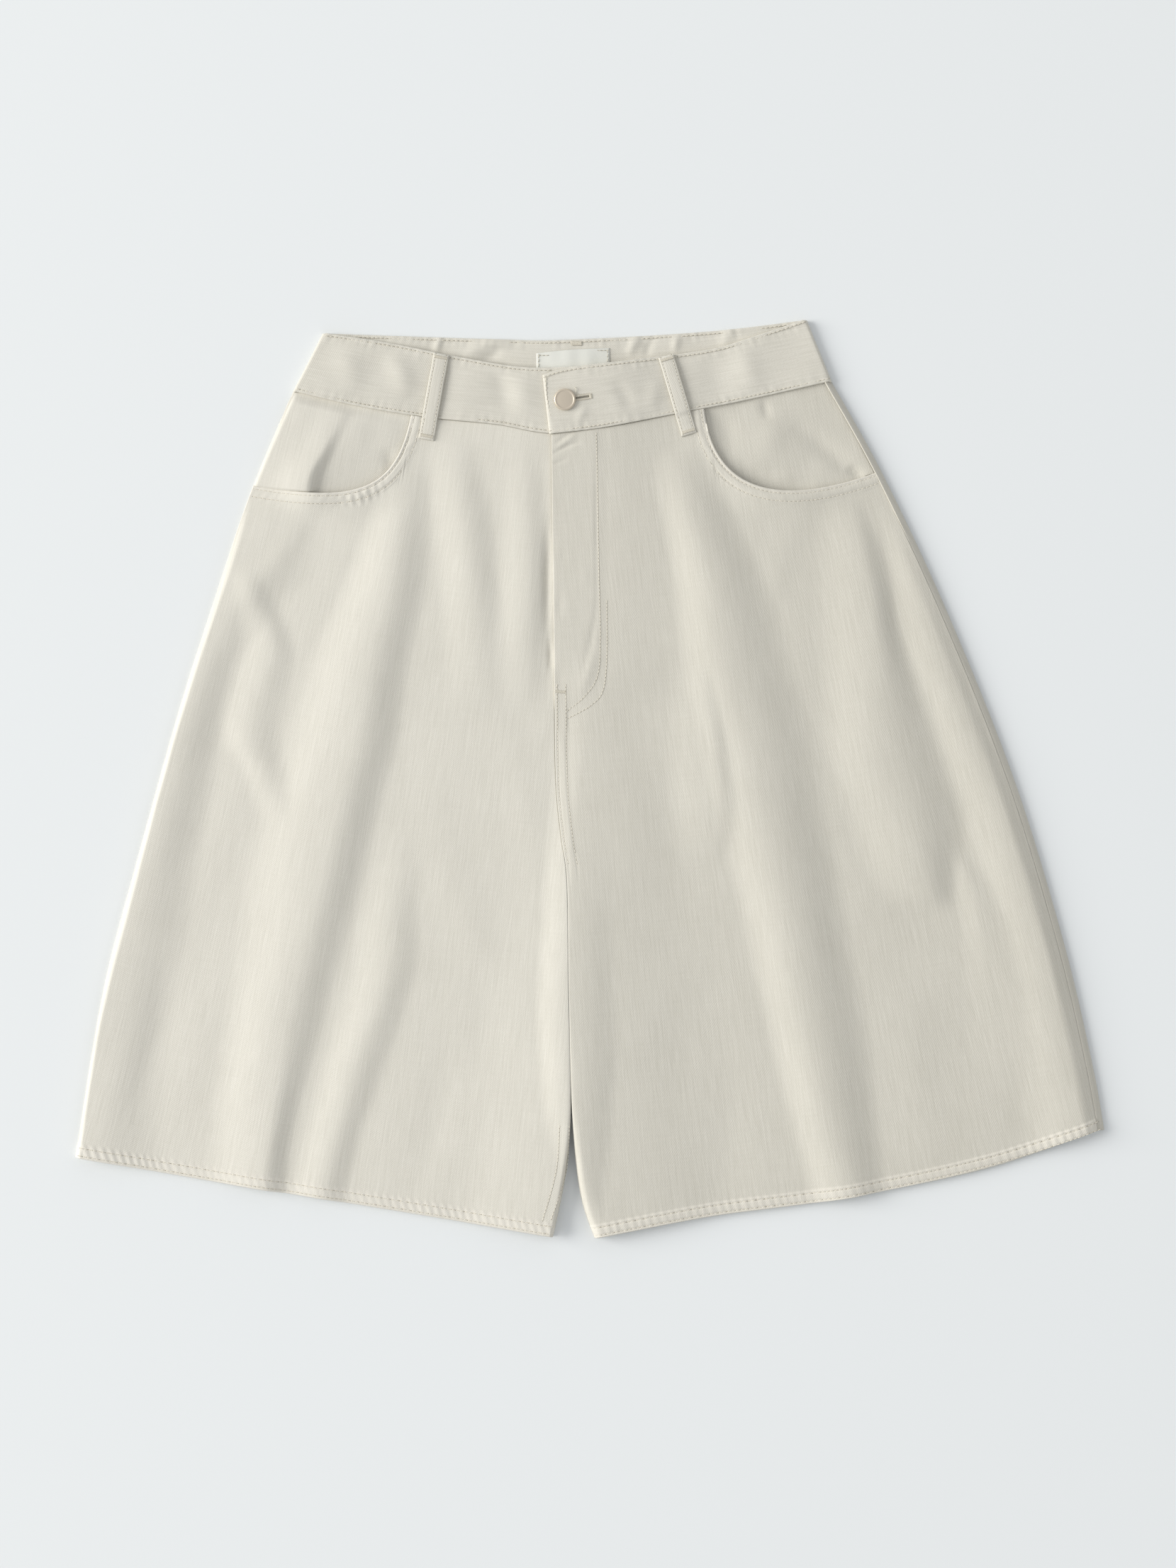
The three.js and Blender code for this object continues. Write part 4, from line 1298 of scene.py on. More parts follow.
@dataclass
class FrontPanel:
    """A front panel, cut out at the pocket and hemmed.

    `side_held` and `inner_held` are how far its side edge and its inner edge stand above their usual height.
    """

    leg: Leg
    hem: Hem = field(default_factory=Hem)
    mouth: PocketMouth = field(default_factory=PocketMouth)
    fly: Fly = field(default_factory=Fly)
    columns: int = 280
    middle_rows: int = 92
    mouth_end: float = 0.05
    hem_start: float = 0.9745
    hem_stretch: float = 1.015
    side_held: float = 2.2
    inner_held: float = 9.0

    def surface(self, x: Array, y: Array) -> Array:
        """Height of the panel's outside.

        Args:
            x: places across.
            y: places up the garment.

        Returns:
            The height at each place.
        """
        leg, seed = self.leg, 11 + self.leg.out
        above_hem = leg.hem.distance(x, y)
        height = LAYERS.front_lift + LAYERS.cloth + fold_height(x, y) + waist_lift(x, y)
        height = height + sum(crease.height(x, y) for crease in PANEL_CREASES)
        height = height + 0.12 * ripple(x, y, seed, 60, 160)
        from_inner = np.abs(x - leg.inner.x_at(y))
        if leg.side is Side.LEFT:
            height = height + self.fly.lift(x, y) + self.fly.thickening(from_inner, y)
            height = height + sum(crease.height(x, y) for crease in FLY_CREASES) * (1 - ramp(x, 10, 16))
            for row in (2.0, 8.0):
                height = height - 0.3 * ridge(from_inner - row, 0.6) * ramp(-y, -40, -30) * ramp(y, -75, -60)
        from_mouth = leg.pocket.distance(x, y)
        height = height + self.mouth.relief(from_mouth, seed, x, y) + self.mouth.lift(from_mouth, x, leg)
        at_hem = self.hem.share(above_hem)
        height = height + self.hem.relief(above_hem, self.hem_stretch * x, seed)
        held = self.side_held if leg.side is Side.RIGHT else 0.0
        side_down = leg.turn_side.applied(height, np.abs(leg.seam.x_at(y) - x), at_hem, held)
        touching = self.inner_held * ramp(y, -300, -228)
        inner_down = leg.turn_inner.applied(side_down, from_inner, at_hem, touching)
        low = ramp(-y, 36, 72)
        return side_down + (inner_down - side_down) * low

    def grid(self) -> tuple[Array, Array, Array, Array]:
        """The panel's grid: its places, its heights, distances up from the hem and places on the flat cloth.

        Returns:
            The four, one row for each step down the panel.
        """
        leg = self.leg
        way = np.array([LAYERS.edge_gap * leg.out, 0])
        under = self.fly.underlap if leg.side is Side.RIGHT else 0.0
        waist = leg.band_low.part(
            leg.band_low.share_at(leg.inner.points[0, 0] + way[0] + under, 0),
            leg.band_low.share_at(leg.pocket.points[0, 0], 0),
        )

        def top(u: Array) -> Array:
            """The waist seam, then the pocket's opening.

            Args:
                u: shares across.

            Returns:
                The points there.
            """
            on_waist = waist(np.clip(u / WAIST_SHARE, 0, 1))
            on_pocket = leg.pocket(np.clip((u - WAIST_SHARE) / (1 - WAIST_SHARE), 0, 1))
            return np.where(np.asarray(u < WAIST_SHARE)[..., None], on_waist, on_pocket) - np.array([0, LAYERS.gap])

        tucked = leg.inner.points + way
        tucked[:, 0] += under * ramp(tucked[:, 1], self.fly.foot_y, self.fly.shield_foot_y)
        inner = Line(tucked, smooth=False)
        outer = leg.seam.part(leg.seam.share_at(leg.pocket.points[-1, 1], 1), 1)
        low = leg.hem.between(leg.hem.points[0] + way, outer.points[-1])
        t = np.linspace(0, 1, self.columns)
        u = t - 0.35 * np.sin(2 * np.pi * t) / (2 * np.pi)
        u[np.argmin(np.abs(u - WAIST_SHARE))] = WAIST_SHARE
        v = np.concatenate([
            np.linspace(0, self.mouth_end, 28)[:-1],
            np.linspace(self.mouth_end, self.hem_start, self.middle_rows)[:-1],
            np.linspace(self.hem_start, 1, 26),
        ])
        places = patch(top, low, inner, outer, u, v)
        heights = self.surface(places[..., 0], places[..., 1])
        return places, heights, leg.hem.distance(places[..., 0], places[..., 1]), flat_place(places, leg.out)

    def make(self, wardrobe: Wardrobe, tree: StitchTree) -> Object:
        """Builds the panel and its stitching.

        Args:
            wardrobe: the finishes.
            tree: the stitches' node tree.

        Returns:
            The panel.
        """
        places, heights, above, cloth = self.grid()
        outer = np.dstack([places, heights])
        in_hem = self.hem.share(above)
        away = self.leg.pocket.distance(places[..., 0], places[..., 1])
        thickness = LAYERS.cloth + (LAYERS.hem - LAYERS.cloth) * in_hem - edge_round(away, self.mouth.rounding)
        points, faces = shell(outer, thickness, self.leg.facing, 1 - ramp(away, 1, 4))
        flat = np.concatenate([cloth.reshape(-1, 2)] * 2)
        # Paler tone in the hem and along the pocket's turned edge, most within about 2 mm of the edge.
        wear = np.maximum(in_hem, 0.75 * (1 - ramp(away, 1.6, 2.6)) + 0.25 * (1 - ramp(away, 7.5, 9.5)))
        node = f"front_{self.leg.side.word}"
        cloth_mesh = add_mesh(f"{node}_cloth", points, faces, flat, wardrobe.twill, np.concatenate([wear.ravel()] * 2))
        piece = dress(cloth_mesh, Slot.DENIM, node)
        self.sew(wardrobe, tree)
        return piece

    def on_surface(self, line: Array, raised: float = 0.06) -> Array:
        """Points of a flat line set on the panel."""
        return np.column_stack([line, self.surface(line[:, 0], line[:, 1]) + raised])

    def sew(self, wardrobe: Wardrobe, tree: StitchTree) -> None:
        """Adds the panel's rows of stitching.

        Args:
            wardrobe: the finishes.
            tree: the stitches' node tree.
        """
        leg = self.leg
        sewing = Sewing(f"stitching_front_{leg.side.word}", tree, wardrobe)
        t = np.linspace(0, 1, 260)
        for away in (self.mouth.near_row, self.mouth.far_row - 0.1):
            row = leg.pocket.offset(away * leg.out * -1)
            keep = row(np.linspace(0.01, 0.985, 160))
            sewing.sew(TOPSTITCH, self.on_surface(keep))
        for above in (self.hem.low_row, self.hem.high_row):
            row = leg.hem.offset(above * leg.out)
            sewing.sew(TOPSTITCH, self.on_surface(row(0.004 + 0.985 * t)))
        if leg.side is Side.LEFT:
            inner_row = Line([[3.4, 243], [4.3, 206], [5.3, 142], [6.3, 99], [4.3, 73], [-4.8, 58.3], [-17.3, 48]])
            outer_row = Line([[10.8, 125], [10.9, 88], [8.3, 63], [-0.3, 52], [-15.3, 43.5]])
            for row in (inner_row, outer_row):
                sewing.sew(FINE_STITCH, self.on_surface(row(np.linspace(0, 1, 120))))
            heights = np.linspace(66, -58, 70)
            for away in (2.0, 8.2):
                seam_row = np.column_stack([leg.inner.x_at(heights) + away, heights])
                sewing.sew(FINE_STITCH, self.on_surface(seam_row))
            tack = np.array([[-25.5, 62], [-18.5, 61.4]])
            sewing.sew(BAR_TACK, self.on_surface(Line(tack, smooth=False)(np.linspace(0, 1, 8))))
        else:
            near_row = Line([[-15.6, -244], [-17.6, -275], [-27.8, -308]])
            far_row = Line([[-22.4, -244], [-24.8, -275], [-34, -309]])
            for row in (near_row, far_row):
                sewing.sew(FINE_STITCH, self.on_surface(row(np.linspace(0, 1, 60))))
        sewing.make()


WARP_LEAN, WARP_POINT_Y = 150.0, 1700.0


def flat_place(places: Array, out: int) -> Array:
    """Where a place lies on a leg's flat cloth, whose warp leans outwards and fans a little from a far point.

    Args:
        places: places on the drawing.
        out: the leg's way from the centre.

    Returns:
        Places on the flat cloth in millimetres.
    """
    dx = places[..., 0] - (LAYERS.closure_x - out * WARP_LEAN)
    dy = WARP_POINT_Y - places[..., 1]
    return np.stack([np.arctan2(dx, dy) * WARP_POINT_Y, -np.hypot(dx, dy)], axis=-1)


@dataclass
class BackPanel:
    """A back panel, which rests on the floor. At the left side it turns up and over the edge."""

    leg: Leg
    hem: Hem = field(default_factory=Hem)
    fold_share: float = 0.42
    curl_radius: float = 2.7
    curl_height: float = 5.5

    def make(self, wardrobe: Wardrobe) -> Object:
        """Builds the panel.

        Args:
            wardrobe: the finishes.

        Returns:
            The panel.
        """
        leg, out = self.leg, self.leg.out
        low = Line(BAND_LOW_BACK)
        way = LAYERS.edge_gap * out
        inner_share = low.share_at(leg.back_inner.points[0, 0] + way, 0)
        top = low.part(inner_share, 0 if out < 0 else 1).shifted(0, -2 * LAYERS.gap)
        side = leg.edge.shifted(-self.curl_radius, 0) if out > 0 else leg.edge
        hem = leg.hem.between(leg.hem.points[0] + np.array([way, 0]), side.points[-1])
        top = top.between(top.points[0], np.array([side.points[0, 0], top.points[-1, 1]]))
        u = np.concatenate([np.linspace(0, 0.06, 6)[:-1], np.linspace(0.06, 0.94, 70)[:-1], np.linspace(0.94, 1, 8)])
        v = np.concatenate([np.linspace(0, 0.975, 90)[:-1], np.linspace(0.975, 1, 14)])
        places = patch(top, hem, leg.back_inner.shifted(way, 0), side, u, v)
        x, y = places[..., 0], places[..., 1]
        lengths = np.linalg.norm(np.diff(places, axis=0), axis=2)
        above = np.concatenate([np.cumsum(lengths[::-1], axis=0)[::-1], np.zeros((1, len(u)))])
        rest = self.fold_share * fold_height(x, y) * ramp(1 - u, 0.02, 0.1)[None] * ramp(u, 0.01, 0.08)[None]
        rest = rest + back_lift(x) * ramp(y, 215, 255)
        outer = np.dstack([places, rest])
        cloth = flat_place(places, out)
        if out > 0:
            outer, cloth = self.curled(outer, cloth)
            above = np.concatenate([above, np.repeat(above[:, -1:], outer.shape[1] - above.shape[1], axis=1)], axis=1)
        thickness = LAYERS.cloth + (LAYERS.hem - LAYERS.cloth) * self.hem.share(above)
        points, faces = shell(outer, thickness, -leg.facing)
        node = f"back_{leg.side.word}"
        piece = add_mesh(f"{node}_cloth", points, faces, np.concatenate([cloth.reshape(-1, 2)] * 2), wardrobe.twill)
        dress(piece, Slot.DENIM, node)
        return piece

    def curled(self, outer: Array, cloth: Array) -> tuple[Array, Array]:
        """Adds the turn of the panel's edge, from the floor up and over to the side seam.

        Args:
            outer: the panel's points.
            cloth: their places on the flat cloth.

        Returns:
            Both, with the turn's columns added.
        """
        foot, inset = outer[:, -1], LAYERS.seam_inset
        bend = np.array([[0, 0], [self.curl_radius + 1.6, 0], [self.curl_radius + 0.4, 3.3],
                         [self.curl_radius - inset - 0.15, self.curl_height]])
        section = cubic(bend)(np.linspace(0, 1, 18)[1:])
        points = [foot + np.array([dx, 0, dz]) for dx, dz in section]
        run = np.linspace(0, 1, 18)[1:] * cubic(bend).length
        added = np.stack(points, axis=1)
        flat = cloth[:, -1:, :] + np.stack([run, np.zeros(len(run))], axis=1)[None]
        return np.concatenate([outer, added], axis=1), np.concatenate([cloth, flat], axis=1)


BACK_LOOP_X, BACK_LOOP_CLOTH, BACK_LOOP_EASE, LOOP_WIDTH = -10.8, 1.0, 34.0, 11.0


def back_lift(x: Array) -> Array:
    """The back waistband rises on to its belt loop."""
    away = np.abs(x - BACK_LOOP_X) - LOOP_WIDTH / 2
    return (BACK_LOOP_CLOTH + LAYERS.gap) * (1 - ramp(away, 1, BACK_LOOP_EASE))


@dataclass
class Bearer:
    """The denim seen in a pocket's opening, which sags away from the opening's edge."""

    leg: Leg
    tuck: float = 14.0
    inset: float = 8.0
    under_band: float = 1.5
    edge_drop: float = 0.5

    def make(self, wardrobe: Wardrobe) -> Object:
        """Builds the bearer.

        Args:
            wardrobe: the finishes.

        Returns:
            The bearer.
        """
        leg, out = self.leg, self.leg.out
        end_y = leg.pocket.points[-1, 1]
        foot_y = end_y - self.tuck * 0.6
        inner_x = leg.pocket.points[0, 0] - out * self.tuck
        low = leg.band_low
        top = low.part(low.share_at(inner_x, 0), low.share_at(leg.seam.points[0, 0], 0)).shifted(0, self.under_band)
        seam = leg.seam.part(0, leg.seam.share_at(foot_y, 1))
        tucked = seam.points - np.array([out * self.inset, 0]) * ramp(end_y - seam.points[:, 1:], 0, 2.4)
        outer_edge = Line(tucked, smooth=False)
        foot = np.array([inner_x + out * 4, end_y - self.tuck * 1.6])
        inner_edge = Line([top.points[0], foot], smooth=False)
        bottom = Line([foot, tucked[-1]], smooth=False)
        top = top.between(top.points[0], np.array([leg.seam.points[0, 0], top.points[-1, 1]]))
        u = np.concatenate([np.linspace(0, 0.9, 60)[:-1], np.linspace(0.9, 1, 12)])
        v = np.linspace(0, 1, 110)
        places = patch(top, bottom, inner_edge, outer_edge, u, v)
        x, y = places[..., 0], places[..., 1]
        under = LAYERS.front_lift - LAYERS.gap + fold_height(x, y) + waist_lift(x, y) + self.drape(x, y)
        drop = 0.0 if leg.turn_side.round else self.edge_drop
        turn = replace(leg.turn_side, height=leg.turn_side.height - drop, hem=0)
        heights = turn.applied(under, np.abs(leg.seam.x_at(y) - x), np.zeros(x.shape))
        points, faces = shell(np.dstack([places, heights]), LAYERS.cloth, leg.facing)
        node = f"pocket_bearer_{leg.side.word}"
        flat = np.concatenate([flat_place(places, out).reshape(-1, 2)] * 2)
        piece = dress(add_mesh(f"{node}_cloth", points, faces, flat, wardrobe.twill), Slot.DENIM, node)
        return piece

    def drape(self, x: Array, y: Array) -> Array:
        """The bearer's own folds: it falls away steeply to the right of a ridge, and dips towards its corners.

        Args:
            x, y: the places.

        Returns:
            The height that they add.
        """
        if self.leg.side is Side.RIGHT:
            ridge_line = Line([[-173, 262], [-182.5, 245], [-190, 230], [-197.5, 215], [-200.5, 201], [-202, 190]])
            across = x - ridge_line.x_at(y)
            strength = 0.5 + 3.5 * ramp(-y, -252, -206)
            fall = np.where(across < 0, np.exp(-((across / 20) ** 2)), 1 - 1.4 * ramp(across, 0, 9))
            lean = 3.0 * (1 - ramp(across, 0, 66))
            raised = strength * fall + lean
            in_opening = ramp(y - self.leg.pocket.y_at(x), -3, 1.5) * ramp(self.leg.band_low.y_at(x) - y, 0.2, 9)
            dips = Crease((-143, 233), (-141, 216), 5, -0.8).height(x, y)
            return np.where(raised > 0, raised * in_opening, raised) + dips + 0.1 * ripple(x, y, 21, 30, 60)
        dips = [
            Crease((84, 262), (96, 226), 8, -1.2, 4),
            Crease((98, 224), (150, 205), 7, -1.4, -6),
            Crease((121, 268), (124, 254), 3, -0.9),
            Crease((126, 258), (128, 222), 16, 1.8),
            Crease((146, 246), (186, 213), 7, -1.5, 2),
            Crease((182, 220), (191, 213), 4, -1.4),
        ]
        return sum(d.height(x, y) for d in dips) + 0.1 * ripple(x, y, 22, 30, 60)


# The waistband and what is on it.
def band_front(x: Array) -> Array:
    """Height of the waistband's outside on the front, away from the lap."""
    return LAYERS.front_lift + LAYERS.waist_lift * bell((x - LAYERS.closure_x) / LAYERS.closure_reach) + LAYERS.band


def lap_lift(x: Array) -> Array:
    """How far the left end is raised where it laps over the right end, and beside it."""
    return (LAYERS.band + LAYERS.gap) * (1 - ramp(x, LAYERS.underlap_x, LAYERS.underlap_x + LAYERS.lap_fade))


def lapped_front(x: Array) -> Array:
    """Height of the waistband's outside where the left end may lap over."""
    return band_front(x) + lap_lift(x)


INSIDE_CREASES = [
    Crease((-110, 300), (-107, 312), 2.6, 1.2),
    Crease((-88, 300), (-60, 308), 4.0, 1.35, 2),
    Crease((-78, 296), (-64, 302), 3.0, -1.0, -1),
    Crease((26, 300), (33, 312), 3.0, 1.35),
    Crease((38, 298), (43, 312), 2.4, -0.9),
    Crease((58, 302), (61, 313), 2.6, 1.2),
    Crease((92, 306), (99, 318), 4.0, 1.05),
]

BAND_CREASES = [
    Crease((-177, 303), (-166, 275), 9.0, 1.1, 2),
    Crease((-141, 299), (-129, 272), 8.0, 1.6, 1),
    Crease((-67, 289), (-58, 260), 7.0, -0.9),
    Crease((-50, 287), (-46, 256), 9.0, 0.9),
    Crease((-4, 263), (-10, 250), 3.0, 0.8),
    Crease((17, 279), (28, 260), 5.0, -0.9, 1),
    Crease((47, 281), (41, 260), 6.0, 1.0),
    Crease((83, 299), (92, 267), 11.0, -1.0),
    Crease((105, 306), (115, 274), 9.0, 1.3),
]


@dataclass(frozen=True)
class Stretch:
    """One stretch of the waistband: its lines, the shares it starts and ends at, and its height along it."""

    top: Line
    low: Line
    start: float
    end: float
    height: Path


@dataclass
class Waistband:
    """One folded strip round the waist, with a row of stitching near each edge.

    The rows of the underlap end at `lapped_x`, where the left end covers them.
    """

    turn_out: float = 2.6
    row: float = 2.0
    step: float = 1.6
    faces_across: int = 22
    edge_reach: float = 0.6
    cut_height: float = 8.0
    lapped_x: float = -30.0
    thread_sink: float = 0.02

    def stretches(self) -> list[Stretch]:
        """The three stretches, from the underlap round to the lapped end.

        Returns:
            The stretches in order.
        """
        return [
            Stretch(Line(BAND_TOP_RIGHT), Line(BAND_LOW_RIGHT), 1.0, 0.0, band_front),
            Stretch(Line(BAND_TOP_BACK), Line(BAND_LOW_BACK), 0.0, 1.0, back_lift),
            Stretch(Line(BAND_TOP_LEFT), Line(BAND_LOW_LEFT), 1.0, 0.0, lapped_front),
        ]

    def rails(self) -> tuple[Array, Array]:
        """The low and the top edge as points in space, from the underlap round to the lapped end.

        Returns:
            The low rail and the top rail.
        """
        low_rail, top_rail = [], []
        runs = self.stretches()
        for number, run in enumerate(runs):
            t = np.linspace(run.start, run.end, int(run.low.length / self.step))
            a, b = run.low(t), run.top(t)
            z = run.height((a[:, 0] + b[:, 0]) / 2)
            low_rail.append(np.column_stack([a, z]))
            top_rail.append(np.column_stack([b, z]))
            if number < len(runs) - 1:
                after = runs[number + 1]
                sign = -1 if number == 0 else 1
                for rail, here in ((low_rail, a), (top_rail, b)):
                    z_next = after.height(np.array([here[-1, 0]]))[0]
                    angle = np.linspace(0, np.pi, 12)[1:-1]
                    middle, reach = (z[-1] + z_next) / 2, (z[-1] - z_next) / 2
                    turn = np.column_stack([
                        here[-1, 0] + sign * self.turn_out * np.sin(angle),
                        np.full(len(angle), here[-1, 1]),
                        middle + reach * np.cos(angle),
                    ])
                    rail.append(turn)
        return np.concatenate(low_rail), np.concatenate(top_rail)

    def section(self, height: Array, thickness: Array) -> tuple[Array, Array]:
        """The rounded section, as shares up the band and depths behind its outside, for each station.

        Args:
            height: the band's, at each station.
            thickness: the band's, at each station.

        Returns:
            Shares and depths, one row for each station.
        """
        half = thickness / 2
        count = self.faces_across
        arc = np.linspace(0, np.pi / 2, 5)
        up = np.linspace(0, 1, count)[1:-1]
        reach = self.edge_reach * half
        around = np.concatenate([
            (reach * (1 - np.cos(arc))[:, None] / height),
            reach / height + up[:, None] * (1 - 2 * reach / height),
            1 - (reach * (1 - np.cos(arc[::-1]))[:, None] / height),
        ])
        depth = np.concatenate([
            half * (1 - np.sin(arc))[:, None],
            np.zeros((count - 2, len(height))),
            half * (1 - np.sin(arc[::-1]))[:, None],
        ])
        return around.T, depth.T

    def make(self, wardrobe: Wardrobe, tree: StitchTree) -> Object:
        """Builds the band with its buttonhole, and its stitching.

        Args:
            wardrobe: the finishes.
            tree: the stitches' node tree.

        Returns:
            The waistband.
        """
        low, top = self.rails()
        up = top - low
        height = np.linalg.norm(up, axis=1)
        up = up / height[:, None]
        tangent = np.gradient((low + top) / 2, axis=0)
        run = np.concatenate([[0], np.cumsum(np.linalg.norm(np.diff((low + top) / 2, axis=0), axis=1))])
        out = np.cross(up, tangent)
        out /= np.linalg.norm(out, axis=1)[:, None]
        from_end = np.minimum(run, run[-1] - run)
        thickness = LAYERS.band * np.sqrt(1 - (1 - np.clip((from_end + 0.12) / 1.1, 0, 1)) ** 2)
        share, depth = self.section(height, thickness)
        up_mm = share * height[:, None]
        on_back = (out[:, 2] < -0.9)[:, None]
        relief = self.relief(up_mm, height[:, None], run[:, None])
        places = low[:, None] + up[:, None] * up_mm[..., None]
        creases = sum(c.height(places[..., 0], places[..., 1]) for c in INSIDE_CREASES)
        centre_sink = (LAYERS.band - thickness)[:, None] / 2
        from_edge = np.minimum(up_mm, height[:, None] - up_mm)
        surface_marks = sum(c.height(places[..., 0], places[..., 1]) for c in BAND_CREASES) * ramp(from_edge, 2, 8)
        front_depth = depth + centre_sink - np.where(on_back, 0, relief + surface_marks)
        back_depth = thickness[:, None] - depth + centre_sink + np.where(on_back, relief + creases, 0)
        faces_out = places - out[:, None] * front_depth[..., None]
        faces_in = places - out[:, None] * back_depth[..., None]
        faces_in = faces_in[:, 1:-1][:, ::-1]
        ring = np.concatenate([faces_out, faces_in], axis=1)
        flat_u = np.concatenate([-up_mm, (up_mm[:, 1:-1] - 2 * height[:, None])[:, ::-1]], axis=1)
        cloth = np.stack([flat_u, np.broadcast_to(-run[:, None], flat_u.shape)], axis=-1)
        piece = self.ring_mesh(ring, cloth, wardrobe.twill)
        self.cut(piece)
        dress(piece, Slot.DENIM, "waistband")
        self.sew(wardrobe, tree)
        return piece

    def relief(self, up_mm: Array, height: Array, run: Array) -> Array:
        """How far the face that shows stands out or in: the stitched rows, the seams' puckers and a slow wave.

        Args:
            up_mm: distance up from the low edge.
            height: the band's.
            run: length along the band.

        Returns:
            The height at each place.
        """
        near_edge = np.minimum(up_mm, height - up_mm)
        rows = -0.5 * ridge(near_edge - self.row, 0.85)
        pucker = 0.13 * ripple(run, up_mm, 31, 8, 60) * (1 - ramp(near_edge, 3, 9))
        return rows + pucker + 0.34 * ripple(run, up_mm, 33, 48, 120)

    def ring_mesh(self, ring: Array, cloth: Array, material: Material) -> Object:
        """Joins the sections into a closed tube with its two ends shut.

        Args:
            ring: a closed row of points for each station.
            cloth: their places on the flat cloth.
            material: the finish.

        Returns:
            The tube.
        """
        stations, around = ring.shape[:2]
        index = np.arange(stations * around).reshape(stations, around)
        following = np.roll(index, -1, axis=1)
        sides = np.stack([index[:-1], following[:-1], following[1:], index[1:]], axis=-1).reshape(-1, 4)
        half = around // 2
        ends = []
        for row, turned in ((index[0], True), (index[-1], False)):
            for k in range(1, half):
                quad = [row[k - 1], row[k], row[(-k - 1) % around], row[(-k) % around]]
                ends.append(quad[::-1] if turned else quad)
        faces = np.concatenate([sides, np.array(ends)])
        points = ring.reshape(-1, 3)
        piece = add_mesh("waistband_cloth", points, faces, cloth.reshape(-1, 2), material)
        return outward(piece)

    def cut(self, piece: Object) -> None:
        """Cuts the buttonhole through the lapped end.

        Args:
            piece: the waistband.
        """
        hole = Buttonhole()
        outline = hole.outline(0.0)
        floor = float(band_front(np.array(hole.x))) + LAYERS.gap / 2
        count = len(outline)
        low = np.column_stack([outline, np.full(count, floor)])
        high = np.column_stack([outline, np.full(count, floor + self.cut_height)])
        index = np.arange(count)
        sides = np.stack([index, np.roll(index, -1), np.roll(index, -1) + count, index + count], axis=1)
        faces = [*sides.tolist(), index[::-1].tolist(), (index + count).tolist()]
        solid = bpy.data.meshes.new("buttonhole_cutter")
        solid.from_pydata(in_frame(np.concatenate([low, high])).tolist(), [], faces)
        cutter = outward(link_new("buttonhole_cutter", solid))
        modifier = piece.modifiers.new("buttonhole", "BOOLEAN")
        modifier.operation = "DIFFERENCE"
        modifier.solver = "MANIFOLD"
        modifier.object = cutter
        graph = bpy.context.evaluated_depsgraph_get()
        mesh = bpy.data.meshes.new_from_object(piece.evaluated_get(graph))
        piece.modifiers.remove(modifier)
        piece.data = mesh
        bpy.data.objects.remove(cutter)

    def sew(self, wardrobe: Wardrobe, tree: StitchTree) -> None:
        """Adds the rows near both edges on the front, along the lapped end, and inside the back's top edge.

        Args:
            wardrobe: the finishes.
            tree: the stitches' node tree.
        """
        sewing = Sewing("stitching_waistband", tree, wardrobe)
        t = np.linspace(0.004, 0.996, 260)
        for run, is_back in zip(self.stretches(), (False, True, False)):
            for line, away in ((run.top, self.row), (run.low, -self.row)):
                if is_back and line is run.low:
                    continue
                row = line.offset(-away)(t)
                z = run.height(row[:, 0]) + (LAYERS.band if is_back else 0)
                covered_from = self.lapped_x if run.height is band_front else math.inf
                sewing.sew(TOPSTITCH, np.column_stack([row, z - self.thread_sink])[row[:, 0] < covered_from])
        end = Line([[-32.2, 281.4], [-31.2, 268], [-28.6, 254], [-27.4, 246.4]])(np.linspace(0, 1, 40))
        sewing.sew(TOPSTITCH, np.column_stack([end, lapped_front(end[:, 0]) - self.thread_sink]))
        for tack in ([[-14.2, 307.9], [-7.4, 307.7]], [[-14.0, 306.7], [-7.2, 306.5]]):
            path = Line(tack, smooth=False)(np.linspace(0, 1, 8))
            sewing.sew(BAR_TACK, np.column_stack([path, back_lift(path[:, 0]) + LAYERS.band + 0.02]))
        sewing.make()


def outward(piece: Object) -> Object:
    """Turns a closed mesh's faces outwards.

    Args:
        piece: an object with a closed mesh.

    Returns:
        The same object.
    """
    work = bmesh.new()
    work.from_mesh(piece.data)
    bmesh.ops.recalc_face_normals(work, faces=work.faces)
    work.to_mesh(piece.data)
    work.free()
    return piece


